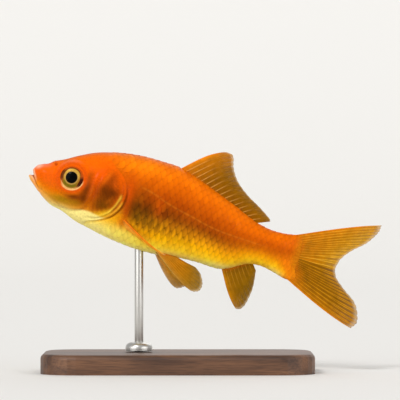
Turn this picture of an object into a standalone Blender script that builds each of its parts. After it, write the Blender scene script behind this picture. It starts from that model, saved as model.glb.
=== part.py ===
"""A common goldfish, modelled at life size as a still display model on a small stand.

The fish is built level in its own frame, in millimetres: X runs from the snout (0) to the tail, Z is up and
Y is across, with the fish's left side at -Y. An empty then tips it nose up and sets it over the stand.
The row's origin is the centre of the underside of the stand's base.
"""

import math

import bmesh
import bpy
from mathutils import Matrix, Vector

MM = 0.001

# ---------------------------------------------------------------- sizes, in millimetres and degrees
NOSE_UP = 18.0  # the fish climbs gently as it swims
SNOUT_AT = (-37.0, 0.0, 48.5)  # the lower lip's tip, from the centre of the base's underside
SWAY = 2.2  # how far the tail's tip is swept to the right
SWAY_FROM = 30.0
TOTAL_LENGTH = 89.0

GAP = 0.3  # between neighbouring solids
SLIVER = 0.03  # vertices closer than this are one
FIN_EDGE = 0.75  # a fin's thickness at its margin, on a ray
FIN_ROOT = 1.1
RAY_RELIEF = 0.12  # how far the web between two rays lies below them, on each side

# Stations of the body: distance from the snout, height of the back, height of the belly, half width.
STATIONS = (
    (0.0, 2.6, 0.2, 1.0),
    (1.0, 3.9, -1.05, 1.9),
    (2.2, 4.6, -2.0, 2.45),
    (3.3, 5.05, -2.8, 2.8),
    (4.5, 6.05, -3.7, 3.2),
    (7.0, 7.4, -4.95, 4.1),
    (10.0, 9.3, -5.5, 4.9),
    (14.0, 11.4, -6.85, 5.6),
    (19.0, 12.95, -7.75, 6.15),
    (25.0, 14.0, -8.5, 6.5),
    (31.0, 14.25, -8.8, 6.4),
    (35.0, 14.2, -8.5, 6.15),
    (40.0, 12.9, -7.7, 5.6),
    (46.0, 11.0, -7.2, 4.8),
    (52.0, 9.0, -7.1, 4.0),
    (54.5, 8.0, -6.0, 3.6),
    (58.0, 6.9, -3.85, 3.05),
    (61.5, 6.35, -3.15, 2.5),
    (65.0, 6.55, -3.65, 1.95),
    (69.0, 7.3, -4.5, 1.0),
)
WIDEST_AT = 0.53  # share of the depth, from the belly, at which the body is widest
BACK_FULLNESS = 2.05  # superellipse exponents: 2 is an ellipse, more is squarer
BELLY_FULLNESS = 2.25
END_CAP = 0.25  # how far the body is pointed beyond its last station, and before its first
RINGS = 38
AROUND = 28

EYE_AT = (10.0, 3.4)
EYE_RADIUS = 3.6
EYE_DEPTH = 2.0  # half the eyeball's thickness
EYE_PROUD = 0.8
SOCKET_SLACK = 0.05  # the socket has fewer facets than the eye, so its flats lie further in

# Smooth outlines in side view, as (distance from snout, height). The open mouth narrows to a thin cut at its
# corner, and the cut goes on behind it as the edge of the lower jaw.
MOUTH_ROOF = (
    (-2.0, 4.6), (0.05, 2.4), (0.9, 0.95), (1.9, -0.4), (3.0, -1.5), (5.0, -2.45), (8.1, -3.6), (8.9, -7.5),
)
MOUTH_FLOOR = (
    (-2.0, 1.5), (0.2, 0.85), (0.9, 0.3), (1.8, -0.75), (2.8, -1.8), (4.9, -2.8), (7.7, -3.85), (8.5, -7.5),
)
GILL_SLIT = (
    (16.4, 17.0), (17.0, 11.6), (19.6, 9.5), (22.6, 7.3), (24.2, 4.1), (24.2, 0.7),
    (22.7, -2.3), (19.9, -4.5), (16.6, -6.2), (14.6, -12.0),
)
GILL_COVER = (
    (15.9, 6.6), (15.5, 3.2), (15.2, 0.0), (15.0, -2.9), (16.8, -4.5), (19.8, -3.7),
    (22.3, -1.3), (23.5, 2.2), (22.8, 5.6), (20.2, 7.9), (17.3, 8.3),
)
GILL_COVER_PROUD = 0.2
GILL_COVER_THICK = 1.2
TAIL_STALK_FROM = 53.5

STAND_BASE = (68.0, 36.0, 5.0)
BASE_CORNER = 9.0
BASE_BEVEL = 1.2
ROD_RADIUS = 1.1
ROD_IN_BASE = 3.0
ROD_IN_FISH = 2.5
ROD_MEETS_BELLY = 31.5  # distance from the snout
COLLAR_RADIUS = 3.4
COLLAR_HEIGHT = 2.2
COLLAR_RIM = 0.8  # height of the collar's upright edge, below its rounded shoulder
COLLAR_LIP = 0.5  # width of the flat ring at its top


# ---------------------------------------------------------------- small tools
def clear_scene():
    for obj in list(bpy.data.objects):
        bpy.data.objects.remove(obj, do_unlink=True)


def material(name, colour, roughness, metallic=0.0):
    made = bpy.data.materials.new(name)
    made.use_nodes = True
    shader = made.node_tree.nodes["Principled BSDF"]
    shader.inputs["Base Color"].default_value = (*colour, 1.0)
    shader.inputs["Roughness"].default_value = roughness
    shader.inputs["Metallic"].default_value = metallic
    return made


def along_curve(points, share):
    """The point at this share of a smooth curve through points, each (share, ...) in rising order."""
    last = len(points) - 1
    i = 0
    while i < last - 1 and share > points[i + 1][0]:
        i += 1
    start, end = points[i], points[i + 1]
    before, after = points[max(i - 1, 0)], points[min(i + 2, last)]
    width = end[0] - start[0]
    t = (share - start[0]) / width
    value = []
    for k in range(1, len(start)):
        slope_in = (end[k] - before[k]) / (end[0] - before[0]) * width
        slope_out = (after[k] - start[k]) / (after[0] - start[0]) * width
        value.append(
            (2 * t**3 - 3 * t**2 + 1) * start[k]
            + (t**3 - 2 * t**2 + t) * slope_in
            + (3 * t**2 - 2 * t**3) * end[k]
            + (t**3 - t**2) * slope_out
        )
    return value


def swayed(x, y, z):
    """A point of the fish's own frame, in metres, with the tail swept aside."""
    bend = max(0.0, x - SWAY_FROM) / (TOTAL_LENGTH - SWAY_FROM)
    return Vector((x, y + SWAY * bend**2, z)) * MM


def add_object(name, mesh_maker, finish=None, parent=None):
    """A new object whose mesh mesh_maker fills as a bmesh. One without a finish is a hidden cutter."""
    mesh = bpy.data.meshes.new(name)
    shape = bmesh.new()
    mesh_maker(shape)
    bmesh.ops.recalc_face_normals(shape, faces=shape.faces)
    shape.to_mesh(mesh)
    shape.free()
    obj = bpy.data.objects.new(name, mesh)
    bpy.context.scene.collection.objects.link(obj)
    obj.parent = parent
    if finish is None:
        obj.hide_render = True
        obj.display_type = "WIRE"
    else:
        mesh.materials.append(finish)
        mesh.shade_smooth()
        mesh.set_sharp_from_angle(angle=math.radians(35))
    return obj


def boolean(obj, operation, other):
    modifier = obj.modifiers.new(f"{operation.lower()} {other.name}", "BOOLEAN")
    modifier.operation = operation
    modifier.object = other
    modifier.solver = "EXACT"


def weld(obj):
    """Closes up the slivers that cuts leave where they pass close to a vertex."""
    modifier = obj.modifiers.new("weld slivers", "WELD")
    modifier.merge_threshold = SLIVER * MM


# ---------------------------------------------------------------- the body
def body_section(x):
    """(back, belly, half width, height of the widest point) of the body at x."""
    back, belly, half_width = along_curve(STATIONS, x)
    return back, belly, half_width, belly + WIDEST_AT * (back - belly)


def body_point(x, turn, grow=0.0):
    """A point on the body at x, turn radians up from the right side, grow outside the surface."""
    back, belly, half_width, middle = body_section(x)
    up = math.sin(turn) > 0
    power = 2 / (BACK_FULLNESS if up else BELLY_FULLNESS)
    reach = (back - middle if up else middle - belly) + grow
    across = math.copysign(abs(math.cos(turn)) ** power, math.cos(turn))
    height = math.copysign(abs(math.sin(turn)) ** power, math.sin(turn))
    return x, (half_width + grow) * across, middle + reach * height


def half_width_at(x, z):
    """How far the body reaches sideways at this place of the side view."""
    back, belly, half_width, middle = body_section(x)
    up = z > middle
    full = BACK_FULLNESS if up else BELLY_FULLNESS
    share = abs(z - middle) / (back - middle if up else middle - belly)
    return half_width * max(0.0, 1 - share**full) ** (1 / full)


def body_maker(grow=0.0, first=STATIONS[0][0], last=STATIONS[-1][0], steps=RINGS):
    """Fills a mesh with the body from first to last as rings, closed to a point at each end."""

    def fill(shape):
        rings = []
        for i in range(steps + 1):
            share = i / steps
            x = first + (last - first) * share**1.25
            ring = [body_point(x, 2 * math.pi * k / AROUND, grow) for k in range(AROUND)]
            rings.append([shape.verts.new(swayed(*p)) for p in ring])
        for near, far in zip(rings, rings[1:]):
            for k in range(AROUND):
                shape.faces.new((near[k], near[k - 1], far[k - 1], far[k]))
        for ring, x in ((rings[0], first - END_CAP - grow), (rings[-1], last + END_CAP + grow)):
            pole = shape.verts.new(swayed(x, 0, body_section(min(max(x, first), last))[3]))
            for k in range(AROUND):
                shape.faces.new((ring[k], ring[k - 1], pole))

    return fill


def prism_maker(outline, low_y, high_y):
    """Fills a mesh with a side-view outline carried straight across the fish from low_y to high_y."""

    def fill(shape):
        near = [shape.verts.new(Vector((x, low_y, z)) * MM) for x, z in outline]
        far = [shape.verts.new(Vector((x, high_y, z)) * MM) for x, z in outline]
        shape.faces.new(near)
        shape.faces.new(list(reversed(far)))
        for k in range(len(outline)):
            shape.faces.new((near[k - 1], near[k], far[k], far[k - 1]))

    return fill


def smooth(points, steps, closed=False):
    """A smooth curve through side-view points, with steps chords between two of them."""
    count = len(points)
    spans = count if closed else count - 1
    curve = []
    for i in range(spans):
        around = (i - 1, i, i + 1, i + 2)
        picked = [k % count if closed else min(max(k, 0), count - 1) for k in around]
        before, start, end, after = (Vector(points[k]) for k in picked)
        for step in range(steps):
            t = step / steps
            a, b = (end - before) / 2, (after - start) / 2
            bend = 3 * (end - start) - 2 * a - b
            curve.append(start + a * t + bend * t**2 + (2 * (start - end) + a + b) * t**3)
    if not closed:
        curve.append(Vector(points[-1]))
    return curve


def beside(curve, distance, closed=False):
    """The curve moved distance to the left of the way it runs."""
    count = len(curve)
    moved = []
    for k, point in enumerate(curve):
        behind = curve[k - 1] if closed or k else point
        ahead = curve[(k + 1) % count] if closed or k + 1 < count else point
        way = (ahead - behind).normalized()
        moved.append(point + distance * Vector((-way.y, way.x)))
    return moved


def eye_frame(side):
    """Where the eyeball's centre is and which way it looks, on side -1 (left) or 1 (right)."""
    x, z = EYE_AT
    step = 0.5
    slope_x = (half_width_at(x + step, z) - half_width_at(x - step, z)) / (2 * step)
    slope_z = (half_width_at(x, z + step) - half_width_at(x, z - step)) / (2 * step)
    look = Vector((-slope_x / 2, side, -slope_z / 2)).normalized()
    surface = Vector((x, side * half_width_at(x, z), z))
    return surface + look * (EYE_PROUD - EYE_DEPTH), look


def eye_maker(side, grow=0.0, segments=20):
    """Fills a mesh with the flattened eyeball, grow millimetres larger."""

    def fill(shape):
        centre, look = eye_frame(side)
        bmesh.ops.create_uvsphere(shape, u_segments=segments, v_segments=segments // 2, radius=1.0)
        stretch = Matrix.Diagonal((EYE_RADIUS + grow, EYE_RADIUS + grow, EYE_DEPTH + grow, 1.0))
        turn = look.to_track_quat("Z", "Y").to_matrix().to_4x4()
        whole = Matrix.Scale(MM, 4) @ Matrix.Translation(centre) @ turn @ stretch
        bmesh.ops.transform(shape, matrix=whole, verts=shape.verts)

    return fill


def make_body(fish, skin, eye_finish, rod_socket):
    """The head, lower jaw, gill covers, trunk, tail stalk and eyes, parted by thin cuts."""
    wide = 20.0
    low, high = -20.0, 30.0
    ahead = -5.0
    slit = smooth(GILL_SLIT, 2)
    head_region = [(ahead, low), (ahead, high), *slit, (slit[-1].x, low)]
    shoulder = beside(slit, GAP)
    end = TAIL_STALK_FROM
    trunk_region = [*shoulder, (shoulder[-1].x, low), (end, low), (end, high), (shoulder[0].x, high)]
    stalk_region = [(end + GAP, low), (end + GAP, high), (TOTAL_LENGTH, high), (TOTAL_LENGTH, low)]
    jaw_region = [*smooth(MOUTH_FLOOR, 2), (MOUTH_FLOOR[0][0], low)]
    mouth_region = [*smooth(MOUTH_ROOF, 2), (MOUTH_ROOF[0][0], low)]
    cover_region = smooth(GILL_COVER, 2, closed=True)
    recess_region = beside(cover_region, -GAP, closed=True)

    def cutter(name, outline, low_y=-wide, high_y=wide):
        return add_object(name, prism_maker(outline, low_y, high_y), parent=fish)

    def gill_layer(grow):
        """The stretch of the body round the gill covers, grown or shrunk."""
        return body_maker(grow, first=10.0, last=30.0, steps=16)

    inner = add_object("cutter_inside_gill_covers", gill_layer(-GILL_COVER_THICK), parent=fish)
    deeper = add_object("cutter_under_gill_covers", gill_layer(-GILL_COVER_THICK - GAP), parent=fish)

    head = add_object("head", body_maker(), skin, fish)
    boolean(head, "INTERSECT", cutter("cutter_head", head_region))
    boolean(head, "DIFFERENCE", cutter("cutter_mouth", mouth_region))

    jaw = add_object("lower_jaw", body_maker(), skin, fish)
    boolean(jaw, "INTERSECT", cutter("cutter_jaw", jaw_region))

    trunk = add_object("trunk", body_maker(), skin, fish)
    boolean(trunk, "INTERSECT", cutter("cutter_trunk", trunk_region))
    boolean(trunk, "DIFFERENCE", rod_socket)

    stalk = add_object("tail_stalk", body_maker(), skin, fish)
    boolean(stalk, "INTERSECT", cutter("cutter_tail_stalk", stalk_region))

    for side, name in ((-1, "left"), (1, "right")):
        reach = sorted((side * 1.5, side * wide))
        cover = add_object(f"gill_cover_{name}", gill_layer(GILL_COVER_PROUD), skin, fish)
        boolean(cover, "INTERSECT", cutter(f"cutter_cover_{name}", cover_region, *reach))
        boolean(cover, "DIFFERENCE", inner)
        recess = cutter(f"cutter_recess_{name}", recess_region, *reach)
        boolean(recess, "DIFFERENCE", deeper)
        boolean(head, "DIFFERENCE", recess)
        add_object(f"eye_{name}", eye_maker(side), eye_finish, fish)
        socket = add_object(f"cutter_socket_{name}", eye_maker(side, GAP + SOCKET_SLACK, 16), parent=fish)
        boolean(head, "DIFFERENCE", socket)
    weld(head)
    weld(trunk)


# ---------------------------------------------------------------- the fins
def clear_of_body(point):
    """Whether a point of the fish's frame lies outside the body and the gap round it."""
    x, y, z = point
    if x > STATIONS[-1][0] + END_CAP + GAP:
        return True
    back, belly, half_width, middle = body_section(min(x, STATIONS[-1][0]))
    up = z > middle
    reach = back - middle if up else middle - belly
    full = BACK_FULLNESS if up else BELLY_FULLNESS
    return (abs(y) / (half_width + GAP)) ** full + (abs(z - middle) / (reach + GAP)) ** full > 1


def fin_maker(rays, base, margin, bow=0.0, steps=4, flutter=0.0):
    """Fills a mesh with a fin: one ridge for each ray and a lower web between two, from a base to a margin.

    base and margin are smooth curves of (share, x, y, z); base lies inside the body, and the fin starts
    where it comes clear of it. bow lifts each ray's middle towards the fin's leading edge, and flutter
    waves the margin out of the fin's plane.
    """
    corner = Vector(along_curve(base, 0.0))
    leading, trailing = Vector(along_curve(margin, 0.0)) - corner, Vector(along_curve(margin, 1.0)) - corner
    across = leading.cross(trailing).normalized()
    lead = corner - Vector(along_curve(base, 1.0))
    columns = 2 * rays - 1

    def surface_point(share, t, side, web):
        """The place on one side of the fin, at share of the way across it and t of the way out."""
        root, tip = Vector(along_curve(base, share)), Vector(along_curve(margin, share))
        ray = (tip - root).normalized()
        forward = (lead - lead.dot(ray) * ray).normalized()
        thick = FIN_ROOT + (FIN_EDGE - FIN_ROOT) * min(1.0, 1.6 * t)
        wave = flutter * t * t * math.sin(2 * math.pi * share)
        point = root.lerp(tip, t) + forward * bow * (1 - share) * 4 * t * (1 - t)
        return point + across * (wave + side * (thick / 2 - web * min(1.0, t + 0.3)))

    def fill(shape):
        sides = ([], [])
        for i in range(columns):
            share = i / (columns - 1)
            web = RAY_RELIEF if i % 2 else 0.0
            for side, rows in zip((-1, 1), sides):
                inside, start = 0.0, 0.7
                while start - inside > 0.001:
                    t = (inside + start) / 2
                    if clear_of_body(surface_point(share, t, side, web)):
                        start = t
                    else:
                        inside = t
                shares_out = [start + (1 - start) * j / steps for j in range(steps + 1)]
                points = [surface_point(share, t, side, web) for t in shares_out]
                rows.append([shape.verts.new(swayed(*p)) for p in points])
        left, right = sides
        for rows in sides:
            for near, far in zip(rows, rows[1:]):
                for j in range(steps):
                    shape.faces.new((near[j], far[j], far[j + 1], near[j + 1]))
        for i in range(columns - 1):
            shape.faces.new((left[i][0], right[i][0], right[i + 1][0], left[i + 1][0]))
            shape.faces.new((left[i][-1], left[i + 1][-1], right[i + 1][-1], right[i][-1]))
        for column in (0, -1):
            for j in range(steps):
                a, b = left[column], right[column]
                shape.faces.new((a[j], a[j + 1], b[j + 1], b[j]))

    return fill


def flat(*points):
    """Curve points of a fin on the midline, given as (share, x, z)."""
    return tuple((share, x, 0.0, z) for share, x, z in points)


def make_fins(fish, web):
    """The dorsal, anal and two-lobed tail fin on the midline, and the two pairs at the sides."""
    fins = {}
    fins["dorsal_fin"] = fin_maker(
        rays=17,
        base=flat((0.0, 34.6, 13.4), (0.5, 46.0, 10.2), (1.0, 56.6, 6.4)),
        margin=flat(
            (0.0, 45.9, 21.9), (0.23, 47.9, 18.6), (0.42, 50.2, 15.3), (0.6, 53.7, 12.9), (0.8, 57.3, 11.0),
            (1.0, 60.9, 8.4),
        ),
        bow=1.5,
    )
    fins["anal_fin"] = fin_maker(
        rays=9,
        base=flat((0.0, 52.3, -6.4), (1.0, 59.2, -2.6)),
        margin=flat(
            (0.0, 59.1, -15.0), (0.2, 60.7, -14.3), (0.45, 61.6, -11.8), (0.7, 62.1, -8.8), (1.0, 61.6, -4.9)
        ),
        bow=0.5,
    )
    fins["tail_fin_upper"] = fin_maker(
        rays=10,
        base=flat((0.0, 66.0, 6.2), (0.35, 68.3, 4.6), (1.0, 68.9, 1.75)),
        margin=flat(
            (0.0, 87.4, 15.9), (0.2, 87.2, 13.9), (0.45, 85.3, 10.6), (0.7, 82.2, 7.5), (0.88, 80.2, 4.6),
            (1.0, 79.6, 2.05),
        ),
        bow=0.4,
        flutter=0.5,
    )
    fins["tail_fin_lower"] = fin_maker(
        rays=10,
        base=flat((0.0, 66.0, -3.0), (0.35, 68.3, -1.4), (1.0, 68.9, 1.45)),
        margin=flat(
            (0.0, 88.0, -11.0), (0.2, 89.0, -8.9), (0.45, 87.2, -4.9), (0.7, 83.2, -2.1), (0.88, 80.6, 0.0),
            (1.0, 79.6, 1.75),
        ),
        bow=0.6,
        flutter=0.5,
    )
    # The left pelvic fin trails back and the right one hangs steeper.
    fins["pelvic_fin_left"] = fin_maker(
        rays=9,
        base=((0.0, 35.6, -2.6, -7.6), (1.0, 38.9, -1.3, -7.3)),
        margin=(
            (0.0, 47.1, -6.9, -14.3),
            (0.3, 48.9, -5.9, -13.3),
            (0.6, 49.7, -4.3, -11.3),
            (1.0, 46.9, -1.6, -8.8),
        ),
        bow=0.7,
    )
    fins["pelvic_fin_right"] = fin_maker(
        rays=9,
        base=((0.0, 35.2, 2.6, -7.7), (1.0, 38.4, 1.3, -7.4)),
        margin=(
            (0.0, 42.7, 6.2, -14.9),
            (0.3, 44.6, 5.3, -14.4),
            (0.6, 46.2, 3.9, -12.6),
            (1.0, 45.4, 1.5, -9.2),
        ),
        bow=0.7,
    )
    # The pectoral fins are spread flat and out to the sides, so that from the side they show edge on.
    for side, name in ((-1, "left"), (1, "right")):
        fins[f"pectoral_fin_{name}"] = fin_maker(
            rays=10,
            base=((0.0, 25.0, side * 5.9, -2.2), (1.0, 25.5, side * 4.4, -4.4)),
            margin=(
                (0.0, 38.2, side * 9.4, -7.7),
                (0.3, 37.4, side * 8.0, -7.9),
                (0.65, 34.4, side * 6.2, -7.6),
                (1.0, 30.6, side * 5.2, -6.6),
            ),
            bow=-0.8,
        )
    for name, maker in fins.items():
        add_object(name, maker, web, fish)


# ---------------------------------------------------------------- the stand
def rounded_plinth(shape):
    """A rectangle with round corners, raised to the base's height, with its top edge bevelled."""
    length, width, height = STAND_BASE
    outline = []
    arc_steps = 7
    for quarter in range(4):
        sign_x = 1 if quarter in (0, 3) else -1
        sign_y = 1 if quarter in (0, 1) else -1
        cx, cy = sign_x * (length / 2 - BASE_CORNER), sign_y * (width / 2 - BASE_CORNER)
        for k in range(arc_steps + 1):
            angle = math.pi / 2 * (quarter + k / arc_steps)
            outline.append((cx + BASE_CORNER * math.cos(angle), cy + BASE_CORNER * math.sin(angle), 0))
    floor = shape.faces.new([shape.verts.new(Vector(p) * MM) for p in outline])
    raised = bmesh.ops.extrude_face_region(shape, geom=[floor])
    top_verts = [v for v in raised["geom"] if isinstance(v, bmesh.types.BMVert)]
    bmesh.ops.translate(shape, vec=(0, 0, height * MM), verts=top_verts)
    top_edges = [e for e in shape.edges if all(v in top_verts for v in e.verts)]
    bmesh.ops.bevel(shape, geom=top_edges, offset=BASE_BEVEL * MM, segments=3, affect="EDGES", profile=0.5)


def cylinder_maker(centre, radius, low, high):
    """Fills a mesh with an upright cylinder about centre, from one height to another."""

    def fill(shape):
        size = {"radius1": radius * MM, "radius2": radius * MM, "depth": (high - low) * MM}
        bmesh.ops.create_cone(shape, cap_ends=True, segments=24, **size)
        middle = Vector((centre[0], centre[1], (low + high) / 2)) * MM
        bmesh.ops.translate(shape, vec=middle, verts=shape.verts)

    return fill


def collar_maker(centre):
    """A turned ring with a rounded shoulder, spun about the rod's axis."""

    def fill(shape):
        bore = ROD_RADIUS + GAP
        foot = STAND_BASE[2] + GAP
        top = foot + COLLAR_HEIGHT
        profile = [(bore, foot), (COLLAR_RADIUS, foot), (COLLAR_RADIUS, foot + COLLAR_RIM)]
        shoulder = COLLAR_RADIUS - bore - COLLAR_LIP
        for k in range(1, 5):
            angle = math.pi / 2 * k / 5
            inward = shoulder * (1 - math.cos(angle))
            upward = COLLAR_RIM + (COLLAR_HEIGHT - COLLAR_RIM) * math.sin(angle)
            profile.append((COLLAR_RADIUS - inward, foot + upward))
        profile += [(bore + COLLAR_LIP, top), (bore, top)]
        verts = [shape.verts.new(Vector((centre[0] + r, centre[1], z)) * MM) for r, z in profile]
        edges = [shape.edges.new((verts[k - 1], verts[k])) for k in range(len(verts))]
        about = {"cent": Vector((*centre, 0)) * MM, "axis": (0, 0, 1), "angle": 2 * math.pi}
        bmesh.ops.spin(shape, geom=verts + edges, steps=24, **about)
        bmesh.ops.remove_doubles(shape, verts=shape.verts, dist=0.01 * MM)

    return fill


def rod_place():
    """(x, y) of the rod and the height at which it meets the belly, in the row's frame."""
    belly = body_section(ROD_MEETS_BELLY)[1]
    climb = math.radians(NOSE_UP)
    local = swayed(ROD_MEETS_BELLY, 0, belly) / MM
    x = SNOUT_AT[0] + local.x * math.cos(climb) + local.z * math.sin(climb)
    z = SNOUT_AT[2] - local.x * math.sin(climb) + local.z * math.cos(climb)
    return (x, SNOUT_AT[1] + local.y), z


def make_stand(wood, metal):
    centre, belly = rod_place()
    base_top = STAND_BASE[2]
    base = add_object("stand_base", rounded_plinth, wood)
    hole = cylinder_maker(centre, ROD_RADIUS + GAP, base_top - ROD_IN_BASE - GAP, base_top + 2)
    boolean(base, "DIFFERENCE", add_object("cutter_base_hole", hole))
    add_object("stand_collar", collar_maker(centre), metal)
    rod = cylinder_maker(centre, ROD_RADIUS, base_top - ROD_IN_BASE, belly + ROD_IN_FISH)
    add_object("stand_rod", rod, metal)


# ---------------------------------------------------------------- assembly
def main():
    clear_scene()
    skin = material("goldfish_skin", (0.90, 0.22, 0.01), 0.38)
    web = material("fin_web", (0.55, 0.26, 0.02), 0.45)
    eye = material("eye", (0.02, 0.015, 0.01), 0.08)
    wood = material("walnut", (0.09, 0.045, 0.025), 0.45)
    metal = material("brushed_steel", (0.62, 0.61, 0.58), 0.3, 1.0)

    fish = bpy.data.objects.new("fish_pose", None)
    bpy.context.scene.collection.objects.link(fish)
    fish.location = Vector(SNOUT_AT) * MM
    fish.rotation_euler = (0.0, math.radians(NOSE_UP), 0.0)

    centre, belly = rod_place()
    socket = cylinder_maker(centre, ROD_RADIUS + GAP, belly - 5, belly + ROD_IN_FISH + GAP)
    rod_socket = add_object("cutter_rod_socket", socket)
    make_body(fish, skin, eye, rod_socket)
    make_fins(fish, web)
    make_stand(wood, metal)


main()
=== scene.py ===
"""The looks of a life-size goldfish model that swims, nose up, over a small display stand.

The fish is modelled lying level, in millimetres, with its snout at the origin, its tail towards +X and
its left side towards -Y. Each finished piece is then swept, pitched and set over the stand.
"""

import math

import bpy
import numpy as np
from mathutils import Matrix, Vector


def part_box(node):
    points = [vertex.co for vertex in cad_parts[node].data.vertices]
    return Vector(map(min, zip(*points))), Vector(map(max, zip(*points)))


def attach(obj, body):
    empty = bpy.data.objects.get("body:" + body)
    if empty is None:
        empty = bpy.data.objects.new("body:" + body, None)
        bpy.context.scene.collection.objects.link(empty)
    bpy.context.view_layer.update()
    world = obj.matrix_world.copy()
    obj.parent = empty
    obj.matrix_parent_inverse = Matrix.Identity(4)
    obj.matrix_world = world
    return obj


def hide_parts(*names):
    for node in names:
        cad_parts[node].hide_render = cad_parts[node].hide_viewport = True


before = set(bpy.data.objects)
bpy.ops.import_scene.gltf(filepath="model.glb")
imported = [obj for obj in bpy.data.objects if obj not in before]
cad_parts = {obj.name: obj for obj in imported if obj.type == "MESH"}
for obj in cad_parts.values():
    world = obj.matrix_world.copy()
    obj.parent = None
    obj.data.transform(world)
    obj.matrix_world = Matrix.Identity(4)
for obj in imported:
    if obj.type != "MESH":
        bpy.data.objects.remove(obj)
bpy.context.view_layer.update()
bpy.ops.object.select_all(action="DESELECT")

# ---------------------------------------------------------------- skin
# Head, jaws, gill covers, trunk and tail stalk are one soft, moist skin over bone and muscle.
# It is blocked out as a long ball, cut open at the mouth, closed up into one even sheet, and its
# bones, folds and openings are then raised and sunk along the surface.
BODY_LENGTH = 70.4  # the flesh thins out between the roots of the tail fin
STATIONS = (  # x, back, belly, half width
    (0.0, 2.6, 0.2, 1.0), (1.0, 3.9, -1.05, 1.9), (2.2, 4.6, -2.0, 2.45), (3.3, 5.05, -2.8, 2.8),
    (4.5, 6.05, -3.7, 3.2), (7.0, 7.4, -4.95, 4.1), (10.0, 9.3, -5.5, 4.9), (14.0, 11.4, -6.85, 5.6),
    (19.0, 12.95, -7.75, 6.15), (25.0, 14.0, -8.5, 6.5), (31.0, 14.25, -8.8, 6.4),
    (35.0, 14.2, -8.5, 6.15), (40.0, 12.9, -7.7, 5.6), (46.0, 11.0, -7.2, 4.8), (52.0, 9.0, -7.1, 4.0),
    (54.5, 8.0, -6.0, 3.6), (58.0, 6.9, -3.85, 3.05), (61.5, 6.35, -3.15, 2.5),
    (65.0, 6.55, -3.65, 1.95), (68.4, 7.2, -4.4, 1.0), (70.4, 6.9, -4.1, 0.45),
)
BACK_FULLNESS, BELLY_FULLNESS = 2.05, 2.25
WIDEST_AT = 0.53
SKIN_UNDER = 0.16  # how far the skin lies inside the solids, for the scales to fill
NOSE_ROUNDING, TAIL_ROUNDING = 0.7, 1.0
SKIN_CELL = 0.293  # the finest that keeps the skin's mesh light enough
FINE_SKIN_TO = 25.5  # the head's skin has four times as many faces

MOUTH_ROOF = ((-2.0, 4.6), (0.05, 2.4), (0.9, 0.95), (1.9, -0.4), (2.6, -1.15), (3.3, -1.75))
MOUTH_FLOOR = ((-2.0, 1.5), (0.2, 0.85), (0.9, 0.3), (1.8, -0.75), (2.6, -1.5), (3.3, -2.05))
EYE_AT = (10.1, 3.35)
EYE_RADIUS, EYE_DEPTH, EYE_PROUD = 3.5, 2.0, 0.8
EYE_RIM = 2.9  # the skin closes round the ball here
GILL_OPENING = (
    (17.0, 11.6), (19.6, 9.5), (22.6, 7.3), (24.2, 4.1), (24.2, 0.7),
    (22.7, -2.3), (19.9, -4.5), (16.6, -6.2), (15.2, -9.5),
)
GILL_COVER = (
    (15.9, 6.6), (15.5, 3.2), (15.2, 0.0), (15.0, -2.9), (16.8, -4.5), (19.8, -3.7),
    (22.3, -1.3), (23.5, 2.2), (22.8, 5.6), (20.2, 7.9), (17.3, 8.3),
)
CHEEK_RIDGE = ((16.6, 8.0), (16.0, 4.2), (15.9, 0.5), (15.1, -2.5), (12.6, -3.9), (9.3, -3.9))
JAW_FOLD = ((3.2, -1.8), (5.0, -2.65), (8.0, -3.8), (10.2, -4.6), (12.5, -6.2))
LIP_FOLD = ((1.4, 3.75), (2.3, 2.2), (3.1, 0.8), (3.75, -0.7), (3.7, -1.9))
THROAT_RAYS = (
    ((12.5, -5.0), (16.8, -5.35), (20.4, -3.9)),
    ((12.0, -5.8), (15.5, -6.1), (18.6, -5.2)),
)
COVER_HINGE, COVER_FURROWS = (15.6, 8.0), 62  # the furrows of the gill cover fan out from its hinge
NOSTRIL_AT = (5.25, 5.35)
SWELLINGS = (  # how high, place, size: gill cover, nostril and its flap, pectoral and pelvic fin roots
    (0.26, (19.2, 2.2), (3.91, 3.4)), (-0.45, NOSTRIL_AT, (0.30, 0.25)),
    (0.24, (4.83, 5.60), (0.30, 0.39)), (0.32, (25.1, -2.9), (0.8, 1.7)),
    (0.25, (36.6, -7.3), (2.2, 1.3)),
)
OUT_OF_REACH = 99.0  # stands for the distance from a line that isn't near
NOSE_UP = math.radians(18)
SNOUT_AT = Vector((-0.037, 0.0, 0.0485))
SWAY, SWAY_FROM, TOTAL_LENGTH = 2.2, 30.0, 89.0
MM = 0.001  # the fish is shaped in millimetres, and the frame is in metres


def through(t, start, slope_in, end, slope_out):
    """Share t of the way along the smooth curve from start to end with these slopes."""
    return (
        (2 * t**3 - 3 * t**2 + 1) * start + (t**3 - 2 * t**2 + t) * slope_in
        + (3 * t**2 - 2 * t**3) * end + (t**3 - t**2) * slope_out
    )


def along(points, at):
    """The values at these places of a smooth curve through points, each (place, value, ...)."""
    table, at = np.array(points, float), np.asarray(at, float)
    i = np.clip(np.searchsorted(table[:, 0], at) - 1, 0, len(table) - 2)
    before, after = np.maximum(i - 1, 0), np.minimum(i + 2, len(table) - 1)
    start, end = table[i], table[i + 1]
    width = end[..., :1] - start[..., :1]
    t = (at[..., None] - start[..., :1]) / width
    slope_in = (end - table[before]) / (end[..., :1] - table[before][..., :1]) * width
    slope_out = (table[after] - start) / (table[after][..., :1] - start[..., :1]) * width
    return np.moveaxis(through(t, start, slope_in, end, slope_out)[..., 1:], -1, 0)


def section(x):
    """Back, belly, half width and height of the widest point of the body at x."""
    back, belly, half_width = along(STATIONS, np.clip(x, 0, BODY_LENGTH))
    return back, belly, half_width, belly + WIDEST_AT * (back - belly)


def height_share(x, z):
    """How high places of the side view lie, from 0 on the belly to 1 on the back."""
    back, belly = section(x)[:2]
    return (z - belly) / (back - belly)


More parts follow.
